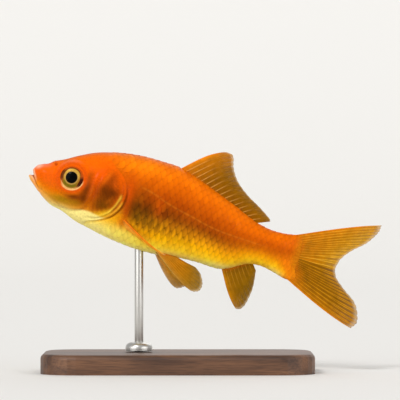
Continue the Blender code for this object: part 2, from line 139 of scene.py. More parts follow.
def on_body(x, turn, grow):
    """Points round the body at x, turn radians up from the right side, grow outside the solids."""
    back, belly, half_width, middle = section(x)
    up = np.sin(turn) > 0
    power = np.where(up, 2 / BACK_FULLNESS, 2 / BELLY_FULLNESS)
    reach = np.where(up, back - middle, middle - belly) + grow
    across = np.sign(np.cos(turn)) * np.abs(np.cos(turn)) ** power
    height = np.sign(np.sin(turn)) * np.abs(np.sin(turn)) ** power
    return np.stack([x + 0 * turn, (half_width + grow) * across, middle + reach * height], -1)


def blend(low, high, value):
    """0 below low, 1 above high, and smooth between them."""
    t = np.clip((value - low) / (high - low), 0, 1)
    return t * t * (3 - 2 * t)


def hump(value, width):
    """1 where the value is 0, fading away on both sides, to about a third at this width."""
    return np.exp(-((value / width) ** 2))


def oval(x, z, at, size, lean=0.0):
    """1 at one place of the side view, about a third at size (along, up) from it, turned by lean."""
    along_it = (x - at[0]) * math.cos(lean) + (z - at[1]) * math.sin(lean)
    over_it = (z - at[1]) * math.cos(lean) - (x - at[0]) * math.sin(lean)
    return np.exp(-((along_it / size[0]) ** 2) - (over_it / size[1]) ** 2)


def drawn(points, closed, steps=8):
    """A smooth line through points of the side view, as many short pieces."""
    line = np.array(points, float)
    if closed:
        line = np.vstack([line, line[:1]])
    before = np.vstack([line[-2 if closed else 0], line[:-2]])
    after = np.vstack([line[2:], line[1 if closed else -1]])
    start, end = line[:-1], line[1:]
    slope_in, slope_out = (end - before) / 2, (after - start) / 2
    t = np.linspace(0, 1, steps, endpoint=False)[None, :, None]
    start, end, slope_in, slope_out = (v[:, None, :] for v in (start, end, slope_in, slope_out))
    return np.vstack([through(t, start, slope_in, end, slope_out).reshape(-1, 2), line[-1]])


def off_line(x, z, points, closed=False):
    """How far places of the side view are from the line through points, above 0 right of its run."""
    line = drawn(points, closed)
    place = np.stack([x, z], -1)
    gap = np.full(len(place), OUT_OF_REACH)
    near = np.all((place > line.min(0) - 4) & (place < line.max(0) + 4), axis=1)
    start, run = line[:-1], line[1:] - line[:-1]
    out = place[near][:, None, :] - start
    share = np.clip((out * run).sum(-1) / (run * run).sum(-1), 0, 1)
    rest = out - share[..., None] * run
    far = np.hypot(rest[..., 0], rest[..., 1])
    nearest = far.argmin(1)
    rows = np.arange(len(nearest))
    turn = run[nearest, 0] * out[rows, nearest, 1] - run[nearest, 1] * out[rows, nearest, 0]
    gap[near] = np.where(turn > 0, -1, 1) * far[rows, nearest]
    return gap


def points_of(piece):
    """The piece's points, a row of x, y, z for each."""
    flat = np.empty(len(piece.data.vertices) * 3)
    piece.data.vertices.foreach_get("co", flat)
    return flat.reshape(-1, 3)


def put_points(piece, points):
    """Moves the piece's points to these places."""
    piece.data.vertices.foreach_set("co", np.asarray(points, float).ravel())
    piece.data.update()


def finish_with(piece, kind, **settings):
    """Adds a modifier with these settings to a piece and applies it."""
    modifier = piece.modifiers.new(kind, kind)
    for setting, value in settings.items():
        setattr(modifier, setting, value)
    bpy.context.view_layer.objects.active = piece
    bpy.ops.object.modifier_apply(modifier=modifier.name)


def pick(piece):
    """Selects this piece alone and makes it the active one."""
    bpy.ops.object.select_all(action="DESELECT")
    piece.select_set(True)
    bpy.context.view_layer.objects.active = piece


def new_piece(name, points, edges, faces):
    """A new piece of these points, edges and faces, picked."""
    mesh = bpy.data.meshes.new(name)
    mesh.from_pydata(points, edges, faces)
    piece = bpy.data.objects.new(name, mesh)
    bpy.context.scene.collection.objects.link(piece)
    pick(piece)
    return piece


def turn_faces_out():
    """Turns every face of the active piece outwards."""
    bpy.ops.object.mode_set(mode="EDIT")
    bpy.ops.mesh.select_all(action="SELECT")
    bpy.ops.mesh.normals_make_consistent(inside=False)
    bpy.ops.object.mode_set(mode="OBJECT")


def set_in_pose(piece):
    """Sweeps the tail aside, lifts the nose and sets the piece over the stand, in metres."""
    points = points_of(piece)
    points[:, 1] += SWAY * (np.maximum(points[:, 0] - SWAY_FROM, 0) / (TOTAL_LENGTH - SWAY_FROM)) ** 2
    put_points(piece, points)
    piece.scale, piece.rotation_euler, piece.location = (MM,) * 3, (0, NOSE_UP, 0), SNOUT_AT
    pick(piece)
    bpy.ops.object.transform_apply(location=True, rotation=True, scale=True)
    bpy.ops.object.select_all(action="DESELECT")


def brought_to_shape(points):
    """Skin points pushed out onto the body's true sections, apart from those inside the mouth."""
    x, y, z = points.T
    back, belly, half_width, middle = section(x)
    up = z > middle
    full = np.where(up, BACK_FULLNESS, BELLY_FULLNESS)
    reach = np.where(up, back - middle, middle - belly) - SKIN_UNDER
    out = (np.abs(y) / (half_width - SKIN_UNDER)) ** full + (np.abs(z - middle) / reach) ** full
    stretch = np.maximum(out, 0.05) ** (-1 / full)
    trust = 1 - blend(1.015, 1.07, stretch) * (x < 5)
    trust = trust * blend(0.7, 1.3, x) * (1 - blend(68.9, 69.9, x))
    stretch = 1 + (stretch - 1) * trust
    return np.stack([x, y * stretch, middle + (z - middle) * stretch], -1), trust


bpy.ops.mesh.primitive_uv_sphere_add(segments=128, ring_count=150, radius=1.0)
skin = bpy.context.object
skin.name = "skin"
bpy.ops.object.mode_set(mode="EDIT")
bpy.ops.mesh.select_all(action="SELECT")
bpy.ops.transform.rotate(value=math.radians(90), orient_axis="Y", center_override=(0, 0, 0))
bpy.ops.object.mode_set(mode="OBJECT")
ball = points_of(skin)
x = (np.clip(ball[:, 0], -1, 1) + 1) / 2 * BODY_LENGTH
turn = np.arctan2(ball[:, 2], ball[:, 1])
shape = on_body(x, turn, -SKIN_UNDER)
middle = section(x)[3]
nose = np.sqrt(1 - (1 - np.minimum(x / NOSE_ROUNDING, 1)) ** 2)
stump = np.sqrt(1 - (1 - np.minimum((BODY_LENGTH - x) / TAIL_ROUNDING, 1)) ** 2)
shape[:, 1] *= nose * stump
shape[:, 2] = middle + (shape[:, 2] - middle) * nose * stump
put_points(skin, shape)

bpy.ops.mesh.primitive_grid_add(x_subdivisions=30, y_subdivisions=4, size=2)
gape = bpy.context.object
grid = points_of(gape)
x = -1.6 + (grid[:, 0] + 1) / 2 * 4.8
roof, floor = along(MOUTH_ROOF, x)[0], along(MOUTH_FLOOR, x)[0]
share = (grid[:, 1] + 1) / 2
open_by = np.maximum(roof - floor, 0.1) * (1 - blend(2.3, 3.25, x)) + 0.02
put_points(gape, np.stack([x, 0 * x, (roof + floor) / 2 + (share - 0.5) * open_by], -1))
finish_with(gape, "SOLIDIFY", thickness=12.0, offset=0.0)
turn_faces_out()
finish_with(skin, "BOOLEAN", operation="DIFFERENCE", object=gape, solver="EXACT")
bpy.data.objects.remove(gape)
finish_with(skin, "REMESH", mode="VOXEL", voxel_size=SKIN_CELL, use_smooth_shade=True)
put_points(skin, brought_to_shape(points_of(skin))[0])

bpy.context.tool_settings.mesh_select_mode = (False, False, True)
centres = np.empty(len(skin.data.polygons) * 3)
skin.data.polygons.foreach_get("center", centres)
for part in (skin.data.vertices, skin.data.edges):
    part.foreach_set("select", [False] * len(part))
skin.data.polygons.foreach_set("select", centres[::3] < FINE_SKIN_TO)
bpy.ops.object.mode_set(mode="EDIT")
bpy.ops.mesh.subdivide(number_cuts=1)
bpy.ops.object.mode_set(mode="OBJECT")
turn_faces_out()


def cover_fan(x, z, cover):
    """The wave of the furrows that fan out over the gill cover, and how strong they are."""
    back, up = x - COVER_HINGE[0], z - COVER_HINGE[1]
    strength = blend(2.5, 6.0, np.hypot(up, back)) * blend(0.5, 1.6, -cover) * (cover < OUT_OF_REACH)
    return np.sin(np.arctan2(up, back) * COVER_FURROWS), strength


def lips_at(x):
    """The heights of the upper and of the lower lip's edge along the mouth."""
    at = np.clip(x, -1, 3.3)
    return along(MOUTH_ROOF, at)[0], along(MOUTH_FLOOR, at)[0]


def relief(x, y, z):
    """How far bones, folds and openings stand out of the skin, in millimetres."""
    opening = off_line(x, z, GILL_OPENING)
    in_opening = (1 - 0.85 * blend(3.5, 7.0, z)) * (1 - blend(8.5, 10.5, z))
    in_opening *= 0.1 + 0.9 * blend(-7.6, -5.0, z)
    high = -0.34 * hump(opening + 0.28, 0.30) * in_opening
    high += 0.14 * blend(-0.12, 0.22, opening) * (1 - blend(1.6, 3.6, opening)) * in_opening

    cover = off_line(x, z, GILL_COVER, closed=True)
    rear = blend(16.0, 18.0, x)
    crisp = 1 - 0.65 * blend(3.5, 7.0, z)
    plate = blend(-0.14 / crisp, 0.26 / crisp, -cover) * (cover < OUT_OF_REACH)
    high += 0.20 * crisp * plate * (0.35 + 0.65 * rear)
    high -= 0.13 * crisp * hump(cover - 0.32, 0.22) * rear

    ridge = off_line(x, z, CHEEK_RIDGE)
    high += (0.13 * hump(ridge, 0.42) - 0.11 * hump(ridge + 0.75, 0.34)) * (1 - blend(4.0, 7.0, z))
    jaw = off_line(x, z, JAW_FOLD)
    high -= 0.16 * hump(jaw, 0.26) * blend(-6.2, -4.6, z)
    furrows, furrowed = cover_fan(x, z, cover)
    high += 0.02 * furrows * furrowed
    fold = off_line(x, z, LIP_FOLD)
    high += 0.10 * hump(fold - 0.35, 0.34) - 0.15 * hump(fold, 0.22)
    for line in THROAT_RAYS:
        high += 0.07 * hump(off_line(x, z, line), 0.30)

    from_eye = np.hypot(x - EYE_AT[0], z - EYE_AT[1])
    below_eye = (np.abs(y) > 2.0) * (1 - blend(-1.5, 1.0, z))
    high -= 0.10 * hump(from_eye - 4.85, 0.28) * below_eye

    roof, floor = lips_at(x)
    before_corner = 1 - blend(2.6, 3.6, x)
    high += 0.15 * (hump(z - roof - 0.45, 0.42) + hump(floor - z - 0.40, 0.36)) * before_corner
    for height, at, size in SWELLINGS:
        high += height * oval(x, z, at, size)
    return high


points, trust = brought_to_shape(points_of(skin))
put_points(skin, points)
normals = np.empty(points.size)
skin.data.vertex_normals.foreach_get("vector", normals)
x, y, z = points.T
outside = np.where(x < 5, np.maximum(trust, 0.35), 1.0)
points = points + normals.reshape(-1, 3) * (relief(x, y, z) * outside)[:, None]
# the lips are rolled forward, the lower one beyond the upper
for edge, ahead, over in zip(lips_at(x), (0.15, 0.75), (-1, 1)):
    reach = hump(x, 0.95) * blend(-0.35, 0.25, (edge - z) * over)
    points += reach[:, None] * np.array((-ahead, 0.0, 0.12 * over))
put_points(skin, points)
mouth = skin.vertex_groups.new(name="mouth")
for i in np.flatnonzero((points[:, 0] < 4.2) & (points[:, 2] < 3.4) & (points[:, 2] > -2.6)):
    mouth.add([int(i)], float(1 - blend(3.2, 4.2, points[i, 0])), "REPLACE")
finish_with(skin, "SMOOTH", factor=0.6, iterations=8, vertex_group="mouth")
skin.vertex_groups.clear()


def half_width_at(x, z):
    """How far the body reaches sideways at one place of the side view."""
    back, belly, half_width, middle = (float(v) for v in section(np.array(x)))
    full = BACK_FULLNESS if z > middle else BELLY_FULLNESS
    share = abs(z - middle) / (back - middle if z > middle else middle - belly)
    return half_width * max(0.0, 1 - share**full) ** (1 / full)


def eye_place(side):
    """An eyeball's centre, side -1 (left) or 1 (right), and its tailward, upward and outward axes."""
    x, z = EYE_AT
    slope_x = half_width_at(x + 0.5, z) - half_width_at(x - 0.5, z)
    slope_z = half_width_at(x, z + 0.5) - half_width_at(x, z - 0.5)
    out = np.array((-slope_x / 2, side, -slope_z / 2))
    out /= np.linalg.norm(out)
    tailward = np.cross(out, (0, 0, -side))
    tailward /= np.linalg.norm(tailward)
    up = np.cross(out, tailward) * side
    centre = np.array((x, side * half_width_at(x, z), z)) + out * (EYE_PROUD - EYE_DEPTH)
    return centre, tailward, up, out


def ball_height(wide):
    """How high the eyeball stands over its centre, wide from its axis."""
    return EYE_DEPTH * np.sqrt(1 - np.minimum(wide / EYE_RADIUS, 0.999) ** 2)


# The skin is drawn up round each eyeball to a thin, rounded rim, and dips under the ball inside it.
points = points_of(skin)
for side in (-1, 1):
    centre, tailward, up, out = eye_place(side)
    wide = np.hypot((points - centre) @ tailward, (points - centre) @ up)
    high = (points - centre) @ out
    rim = ball_height(EYE_RIM + 0.15) + 0.16 - 0.10 * ((wide - EYE_RIM - 0.4) / 0.5) ** 2
    under = ball_height(wide) - 0.5
    wanted = under + (rim - under) * blend(EYE_RIM - 0.3, EYE_RIM, wide)
    wanted = np.where(wide > EYE_RIM + 0.4, ball_height(EYE_RIM + 0.15) + 0.16, wanted)
    pull = (1 - blend(EYE_RIM + 0.5, EYE_RIM + 2.0, wide)) * (high > -1.6) * (wide < EYE_RIM + 2)
    points = points + out * ((wanted - high) * pull)[:, None]
put_points(skin, points)


# The colours are laid on as with an airbrush: a shaded ground from belly to back, and clouds over it.
def linear(hex_colour):
    """The linear values of an sRGB hex colour."""
    value = np.array([int(hex_colour[i : i + 2], 16) / 255 for i in (0, 2, 4)])
    return np.where(value <= 0.04045, value / 12.92, ((value + 0.055) / 1.055) ** 2.4)


def ground(shades, height):
    """The colour at each height share of a run of shades, each (height share, hex colour)."""
    table = [(share, *linear(colour)) for share, colour in shades]
    return np.clip(along(table, np.clip(height, 0, 1)), 0, 1).T


def sprayed(colours, coats):
    """These colours under more coats, each (hex colour, how densely it covers, from 0 to 1)."""
    for hex_colour, density in coats:
        colours = colours + (linear(hex_colour) - colours) * np.clip(density, 0, 1)[:, None]
    return colours


def clouds(x, z, table):
    """Coats that are soft ovals, each given as (hex colour, density, place, size, lean)."""
    return [(colour, density * oval(x, z, *where)) for colour, density, *where in table]


TRUNK_SHADES = (
    (0.0, "FFF286"), (0.07, "FFDA40"), (0.16, "F8BA14"), (0.26, "E69C0A"), (0.34, "C47808"),
    (0.43, "9A4C04"), (0.54, "A64602"), (0.66, "BE5002"), (0.80, "DE6402"), (0.91, "EE7204"),
    (1.0, "DC6C04"),
)
STALK_SHADES = (
    (0.0, "F8C838"), (0.12, "FFC41C"), (0.24, "F2A208"), (0.36, "DA7A04"), (0.48, "C45C02"),
    (0.62, "C85602"), (0.80, "E26602"), (1.0, "D66404"),
)
HEAD_SHADES = (
    (0.0, "E8CE8C"), (0.08, "E6C066"), (0.16, "DA9430"), (0.26, "E0760A"), (0.40, "E06204"),
    (0.60, "EA5C02"), (0.84, "F86602"), (0.95, "E8680A"), (1.0, "C86228"),
)
BODY_CLOUDS = (  # the flank, cheek and gill cover, then belly and edge
    ("D44E04", 0.85, (25.1, 3.6), (1.1, 4.6), 0.15), ("B44202", 0.75, (25.7, -0.6), (1.0, 2.2), 0.1),
    ("D05402", 0.65, (25.4, -3.6), (1.5, 1.6), 0.3),
    ("7A3802", 0.55, (29.2, 0.9), (4.2, 3.0), 0.0), ("8A4004", 0.55, (28.4, 4.8), (1.8, 2.2), 0.0),
    ("4E2402", 0.90, (27.5, 1.4), (1.3, 1.9), 0.0),
    ("4E2802", 0.75, (30.3, 1.1), (1.2, 1.8), 0.0), ("5E3802", 0.80, (27.9, -1.0), (1.3, 1.6), 0.2),
    ("8A5A06", 0.55, (31.4, -1.8), (2.6, 1.5), 0.0), ("6A2E02", 0.50, (35.2, 2.3), (1.2, 1.7), 0.0),
    ("6E2E02", 0.50, (37.6, 1.8), (1.8, 1.5), 0.0), ("C84E04", 0.55, (33.2, 3.2), (0.9, 2.4), 0.1),
    ("FF8A0A", 0.50, (26.6, 11.4), (6.0, 1.8), 0.0), ("AA7A08", 0.95, (9.4, -2.6), (3.3, 1.1), 0.0),
    ("A06A06", 0.85, (12.8, -2.2), (2.0, 1.0), 0.1), ("6A3002", 0.95, (14.4, -0.6), (1.3, 1.7), 0.2),
    ("6A2C02", 0.95, (14.5, 1.8), (1.2, 2.9), -0.1), ("8C3C02", 0.60, (14.3, 4.9), (0.9, 1.5), -0.2),
    ("6A2A02", 0.90, (12.2, -1.1), (2.3, 0.8), 0.25), ("B84404", 0.75, (16.6, 1.4), (1.0, 3.0), -0.05),
    ("F45604", 0.60, (16.9, 6.4), (1.4, 3.0), -0.3), ("7A3602", 0.95, (19.7, 1.5), (2.9, 3.2), 0.1),
    ("6A2E02", 0.80, (18.9, 2.9), (1.2, 1.8), 0.0),
    ("542402", 0.85, (20.9, 2.9), (2.3, 1.6), 0.0), ("8E3A04", 0.75, (20.0, 5.8), (1.7, 2.6), 0.0),
    ("5E3A02", 0.85, (19.4, -0.9), (2.5, 1.4), 0.3), ("B05404", 0.60, (17.2, -1.5), (0.9, 1.5), 0.0),
    ("FFEE90", 0.80, (20.0, -6.8), (6.0, 1.8), -0.1), ("F08A1C", 0.75, (2.4, -1.5), (3.4, 1.1), -0.6),
    ("E86A0C", 0.55, (18.6, 6.0), (0.42, 2.0), -0.35), ("D8580A", 0.50, (21.0, 4.9), (0.5, 1.5), 0.45),
    ("7A3E04", 0.65, (18.3, -0.5), (0.9, 1.9), -0.1), ("B45A08", 0.45, (20.6, 0.6), (0.4, 1.3), -0.5),
    ("D05404", 0.70, (23.2, 5.6), (0.8, 2.6), 0.3), ("FFF08C", 0.80, (51.8, -6.7), (3.2, 0.9), 0.1),
    ("FFF08C", 0.70, (65.6, -3.7), (2.0, 0.7), -0.2), ("FFEC64", 0.75, (26.5, -6.4), (5.0, 1.5), -0.1),
)
# the pale pink spot on the snout is partly its tint and partly a painted highlight
LIP_CLOUDS = (
    ("F47A5C", 0.70, (2.7, 4.4), (1.5, 0.6), 0.35), ("F8BCA0", 0.85, (1.3, 3.6), (1.0, 0.5), 0.7),
    ("EFB070", 0.85, (2.1, -1.85), (2.6, 0.45), -0.6), ("FF9412", 0.85, (1.6, -0.5), (1.1, 0.42), -0.6),
)
FLANK_BARS = tuple(  # behind the gills the dark cloud breaks up into leaning bars, fainter tailwards
    ("644004", 0.92 - 0.065 * bar, (28.9 + 1.72 * bar, -1.2 - 0.12 * bar), (0.46, 2.4), 0.14)
    for bar in range(9)
)
LATERAL_LINE = (
    (16.0, 9.0), (24.0, 7.0), (29.0, 6.2), (32.0, 5.5), (34.0, 4.8), (38.0, 3.9), (42.0, 3.2),
    (46.0, 2.4), (50.0, 2.0), (60.0, 1.85), (70.0, 1.6),
)
CHEEK_EDGE = (
    (3.0, -2.9), (4.5, -3.5), (6.0, -4.0), (8.0, -4.35), (10.0, -4.4), (12.5, -4.1), (14.6, -3.4),
    (16.6, -3.2), (18.4, -3.4), (20.5, -3.6), (22.4, -3.0),
)


def tail_root(z):
    """Where along the fish the flesh gives way to the rays of the tail fin, at each height."""
    return 68.9 + 1.8 * blend(0.5, -3.5, z)


def fish_colours(points):
    """The linear colour of the fish's coat at each of these points."""
    x, y, z = points.T
    height = height_share(x, z)
    colours = ground(TRUNK_SHADES, height)
    share = blend(46, 62, x)[:, None]
    colours = colours * (1 - share) + ground(STALK_SHADES, height) * share
    opening = off_line(x, z, GILL_OPENING)
    behind = np.where(opening < OUT_OF_REACH, blend(-0.1, 0.3, opening), (x < 18.0) * 1.0)
    on_head = np.where(z > 10.5, 1 - blend(16.0, 21.0, x), behind)
    colours = colours * (1 - on_head[:, None]) + ground(HEAD_SHADES, height) * on_head[:, None]
    coats = clouds(x, z, BODY_CLOUDS + FLANK_BARS)
    # the lateral line is a thin, lighter thread; the rays of the tail fin show past its root
    thread = hump(z - along(LATERAL_LINE, np.clip(x, 16, 70))[0], 0.20) * blend(26, 29, x)
    past_root = x - tail_root(z)
    on_fin = blend(-1.6, 1.2, past_root)
    rays = 0.5 + 0.5 * np.cos(np.arctan2(z - 1.6, x - 56) * 195)
    coats += [
        ("F08A20", 0.24 * thread * (1 - blend(58, 64, x))),
        ("F07A08", 0.85 * blend(-5.0, -1.5, past_root) * (1 - blend(-0.5, 3.0, z))),
        ("C46E06", 0.85 * on_fin),
        ("F0A41C", 0.3 * on_fin * rays),
    ]
    # two golden crescents edge the gill cover and its membrane, with a dark gap between that is partly
    # painted shade, and painted shade lies in the slit under the cover's edge
    cover = off_line(x, z, GILL_COVER, closed=True)
    low_rear = (1 - blend(1.6, 3.6, z)) * blend(15.5, 17.5, x)
    gold = blend(-1.9, -0.6, cover) * (cover < 0.35) * low_rear
    rim = hump(opening - 0.35, 0.34) * (1 - blend(0.5, 2.0, z)) * blend(19.0, 21.0, x)
    gap = hump(opening - 1.0, 0.34) * (1 - blend(1.0, 3.0, z)) * blend(21.5, 22.6, x)
    dark = hump(opening + 0.2, 0.22) * (1 - blend(2.0, 6.0, z)) * blend(20.5, 22.5, x)
    furrows, furrowed = cover_fan(x, z, cover)
    coats += [
        ("E8B418", 0.7 * gold * (1 - blend(-3.0, -0.4, z))),
        ("FACC3C", 0.85 * hump(cover + 0.25, 0.34) * low_rear),
        ("EAB22C", 0.65 * rim),
        # the dark gap: partly painted shade
        ("A04C04", 0.75 * gap),
        # painted shade in the slit under the gill cover's edge
        ("7A3402", 0.7 * dark),
        ("5A2202", 0.22 * (0.5 + 0.5 * furrows) * furrowed * blend(15.5, 17.0, x)),
    ]
    # the pale underside of jaw and throat, the pale snout, partly a painted highlight, and the pale
    # lips round the mouth, whose dark lining is partly painted shade
    jaw = off_line(x, z, CHEEK_EDGE)
    pale = blend(-0.15, 0.55, jaw) * (jaw < OUT_OF_REACH) * blend(3.0, 6.0, x)
    roof, floor = lips_at(x)
    lips = (hump(z - roof - 0.30, 0.42) + hump(floor - z - 0.22, 0.30)) * (1 - blend(0.8, 2.2, x))
    inside = blend(-0.15, 0.32, roof - z) * blend(-0.15, 0.32, z - floor) * (1 - blend(2.4, 3.4, x))
    coats += [("FCEA8C", 0.92 * pale * on_head), *clouds(x, z, LIP_CLOUDS)]
    # the mouth's dark lining: partly its own dark red, partly painted shade
    coats += [("F6BC90", 0.85 * lips), ("7A2E14", 0.75 * inside)]
    # a red ring round the eye, a pale crescent of painted light on the lower rim of the socket, and
    # painted shade in the nostril pit
    from_eye = np.hypot(x - EYE_AT[0], z - EYE_AT[1])
    round_eye = np.degrees(np.arctan2(z - EYE_AT[1], x - EYE_AT[0]))
    outside = np.abs(y) > 2
    lit_lower_rim = hump(from_eye - 3.0, 0.17) * outside * (1 - blend(45, 75, np.abs(round_eye + 68)))
    coats += [
        ("D85008", 0.8 * hump(from_eye - 3.5, 0.45) * outside),
        ("F8C880", 0.9 * lit_lower_rim),
        # painted shade in the sunk nostril
        ("7A2A06", 0.6 * hump(np.hypot(x - NOSTRIL_AT[0], z - NOSTRIL_AT[1]), 0.4)),
    ]
    return sprayed(colours, coats)


def paint(piece, colours, cover=1.0):
    """Stores linear colours, and a cover from 0 to 1, at the piece's points."""
    layer = piece.data.color_attributes.new("paint", "FLOAT_COLOR", "POINT")
    full = np.empty((len(colours), 4))
    full[:, :3], full[:, 3] = colours, cover
    layer.data.foreach_set("color", full.ravel())


def add_node(material, kind, inputs=None, **settings):
    """Adds a node with its settings; an input is a plain value or another node's output."""
    node = material.node_tree.nodes.new(kind)
    for setting, value in settings.items():
        setattr(node, setting, value)
    for socket, value in (inputs or {}).items():
        if isinstance(value, bpy.types.NodeSocket):
            material.node_tree.links.new(value, node.inputs[socket])
        else:
            node.inputs[socket].default_value = value
    return node


def new_material(name):
    """An empty material, whose shader is added last."""
    material = bpy.data.materials.new(name)
    material.use_nodes = True
    material.node_tree.nodes.clear()
    return material


def shaded_by(material, colour, figure, low, high, darkest, lightest):
    """This colour made darkest where the figure is low, and lightest where it is high."""
    depth = add_node(
        material, "ShaderNodeMapRange",
        {"Value": figure, "From Min": low, "From Max": high, "To Min": darkest, "To Max": lightest},
    ).outputs["Result"]
    inputs = {0: colour, "Scale": depth}
    return add_node(material, "ShaderNodeVectorMath", inputs, operation="SCALE").outputs["Vector"]


# Moist fish skin: lacquered resin over the airbrushed coats, so the colours are deep and the
# highlights small. Pigment cells mottle it at half a millimetre and pores roughen it at a fifth.
moist_skin = new_material("moist_fish_skin")
place = add_node(moist_skin, "ShaderNodeTexCoord").outputs["Object"]
coats = add_node(moist_skin, "ShaderNodeAttribute", attribute_name="paint").outputs["Color"]
mottle = add_node(moist_skin, "ShaderNodeTexNoise", {
    "Vector": place, "Scale": 2000.0, "Detail": 3.0, "Roughness": 0.6,
}).outputs["Fac"]
pores = add_node(
    moist_skin, "ShaderNodeTexNoise", {"Vector": place, "Scale": 4500.0, "Detail": 2.0}
).outputs["Fac"]
grain = add_node(moist_skin, "ShaderNodeBump", {"Height": pores, "Strength": 0.18, "Distance": 0.0001})
lacquer = add_node(moist_skin, "ShaderNodeBsdfPrincipled", {
    "Base Color": shaded_by(moist_skin, coats, mottle, 0.3, 0.7, 0.84, 1.08),
    "Roughness": 0.45,
    "Specular IOR Level": 0.05,
    "Specular Tint": (1.0, 0.5, 0.1, 1.0),
    "Coat Weight": 0.04,
    "Coat Roughness": 0.18,
    "Normal": grain.outputs["Normal"],
})
add_node(moist_skin, "ShaderNodeOutputMaterial", {"Surface": lacquer.outputs["BSDF"]})
paint(skin, fish_colours(points))
set_in_pose(skin)
skin.data.materials.clear()
skin.data.materials.append(moist_skin)
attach(skin, "root")
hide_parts("head", "lower_jaw", "gill_cover_left", "gill_cover_right", "trunk", "tail_stalk")

# ---------------------------------------------------------------- scales
# Thin, clear-edged plates in staggered rows, each rooted in the skin and lying over the next one.
# One plate is shaped and thickened, and copied along rows that follow the lateral line.
SCALE_PITCH = ((14.0, 1.74), (24.0, 1.74), (46.0, 1.66), (64.0, 1.42), (69.0, 0.9), (72.0, 0.8))
ROW_HEIGHT = ((14.0, 1.46), (30.0, 1.48), (46.0, 1.36), (64.0, 1.08), (69.0, 0.92), (72.0, 0.88))
SCALE_LENGTH = 1.55  # in pitches: the front third is covered
SCALE_HALF_HEIGHT = 1.04  # in rows
SCALE_LIFT, SCALE_THICKNESS = 0.12, 0.05
BAKE_PATCH = 0.003  # each scale's own patch of the map that its colours are baked to
FIRST_COLUMN, LAST_COLUMN = 14.6, 71.6
DORSAL_SPAN, ANAL_SPAN = (34.5, 58.5), (51.5, 60.0)  # no single scales under these two fins
PECTORAL_AT, PECTORAL_BARE = (24.3, -2.4), 1.5
NAPE_ABOVE = 9.8

# how far it is round the body's left or right half from the belly, at closely spaced stations
STEP = 0.25
stations = np.arange(0, 71.76, STEP)
turns = np.linspace(-math.pi / 2, math.pi / 2, 361)
ring = on_body(stations[:, None], turns[None, :], -SKIN_UNDER)
steps = np.hypot(np.diff(ring[..., 1]), np.diff(ring[..., 2]))
girth = np.concatenate([np.zeros((len(stations), 1)), steps.cumsum(1)], 1)
half_girth = girth[:, -1]
shares = np.linspace(0, 1, 301)
turn_at_share = np.array([np.interp(shares * g[-1], g, turns) for g in girth])
line_height = along(LATERAL_LINE, stations)[0]
line_girth = np.array([np.interp(h, r[:, 2], g) for h, r, g in zip(line_height, ring, girth)])


def over_skin(x, up, side, lift):
    """Points lift above the skin at x, up millimetres round the body from the lateral line."""
    whole = np.interp(x, stations, half_girth)
    share = (np.interp(x, stations, line_girth) + up) / whole
    side = np.where((share > 1) | (share < 0), -side, side)
    share = np.where(share > 1, 2 - share, np.abs(share))
    row = np.clip(x / STEP, 0, len(stations) - 1.001)
    column = np.clip(share * 300, 0, 299.999)
    i, j = row.astype(int), column.astype(int)
    a, b = row - i, column - j
    turn = (
        turn_at_share[i, j] * (1 - a) * (1 - b) + turn_at_share[i + 1, j] * a * (1 - b)
        + turn_at_share[i, j + 1] * (1 - a) * b + turn_at_share[i + 1, j + 1] * a * b
    )
    turn = np.clip(turn, -math.pi / 2 + 1e-4, math.pi / 2 - 1e-4)
    point = on_body(x, turn, -SKIN_UNDER)
    ahead = on_body(x + 0.1, turn, -SKIN_UNDER) - on_body(x - 0.1, turn, -SKIN_UNDER)
    above = on_body(x, turn + 0.01, -SKIN_UNDER) - on_body(x, turn - 0.01, -SKIN_UNDER)
    out = np.cross(above, ahead)
    out /= np.linalg.norm(out, axis=-1, keepdims=True)
    point = point + out * lift[..., None]
    point[..., 1] *= side
    return point


def free_edge(across):
    """How far a scale's rounded free edge lies from its root, at each place across it."""
    return 0.42 + 0.58 * np.sqrt(1 - 0.985 * np.abs(across) ** 2.1)


bpy.ops.mesh.primitive_grid_add(x_subdivisions=3, y_subdivisions=8, size=2)
one_scale = bpy.context.object
grid = points_of(one_scale)
out_by = np.array([0.0, 0.42, 0.76, 1.0])[np.rint((grid[:, 0] + 1) * 1.5).astype(int)]
across = grid[:, 1] * (0.5 + 0.5 * blend(0.0, 0.4, out_by))
put_points(one_scale, np.stack([out_by * free_edge(grid[:, 1]), across, 0 * across], -1))
finish_with(one_scale, "SOLIDIFY", thickness=1.0, offset=-1.0)
plate = points_of(one_scale)
plate_faces = [list(face.vertices) for face in one_scale.data.polygons]
bpy.data.objects.remove(one_scale)

# every second row lies half a scale further back, and single scales close the back and the belly
columns = [FIRST_COLUMN]
while columns[-1] < LAST_COLUMN:
    columns.append(columns[-1] + float(along(SCALE_PITCH, columns[-1])[0]))
columns = np.array(columns)
roots = []
for row in range(-16, 17):
    here = columns if row % 2 else (columns[:-1] + columns[1:]) / 2
    for x in here:
        high = float(along(ROW_HEIGHT, x)[0])
        whole = float(np.interp(x, stations, half_girth))
        up = float(np.interp(x, stations, line_girth)) + row * high
        if 0.45 * high < up < whole - 0.45 * high:
            roots.append((x, row, 0))
for x in columns:
    if 17.5 < x < DORSAL_SPAN[0] or x > DORSAL_SPAN[1]:
        roots.append((x, 99, 1))
    if x > 17.0 and not ANAL_SPAN[0] < x < ANAL_SPAN[1]:
        roots.append((x, -99, 1))


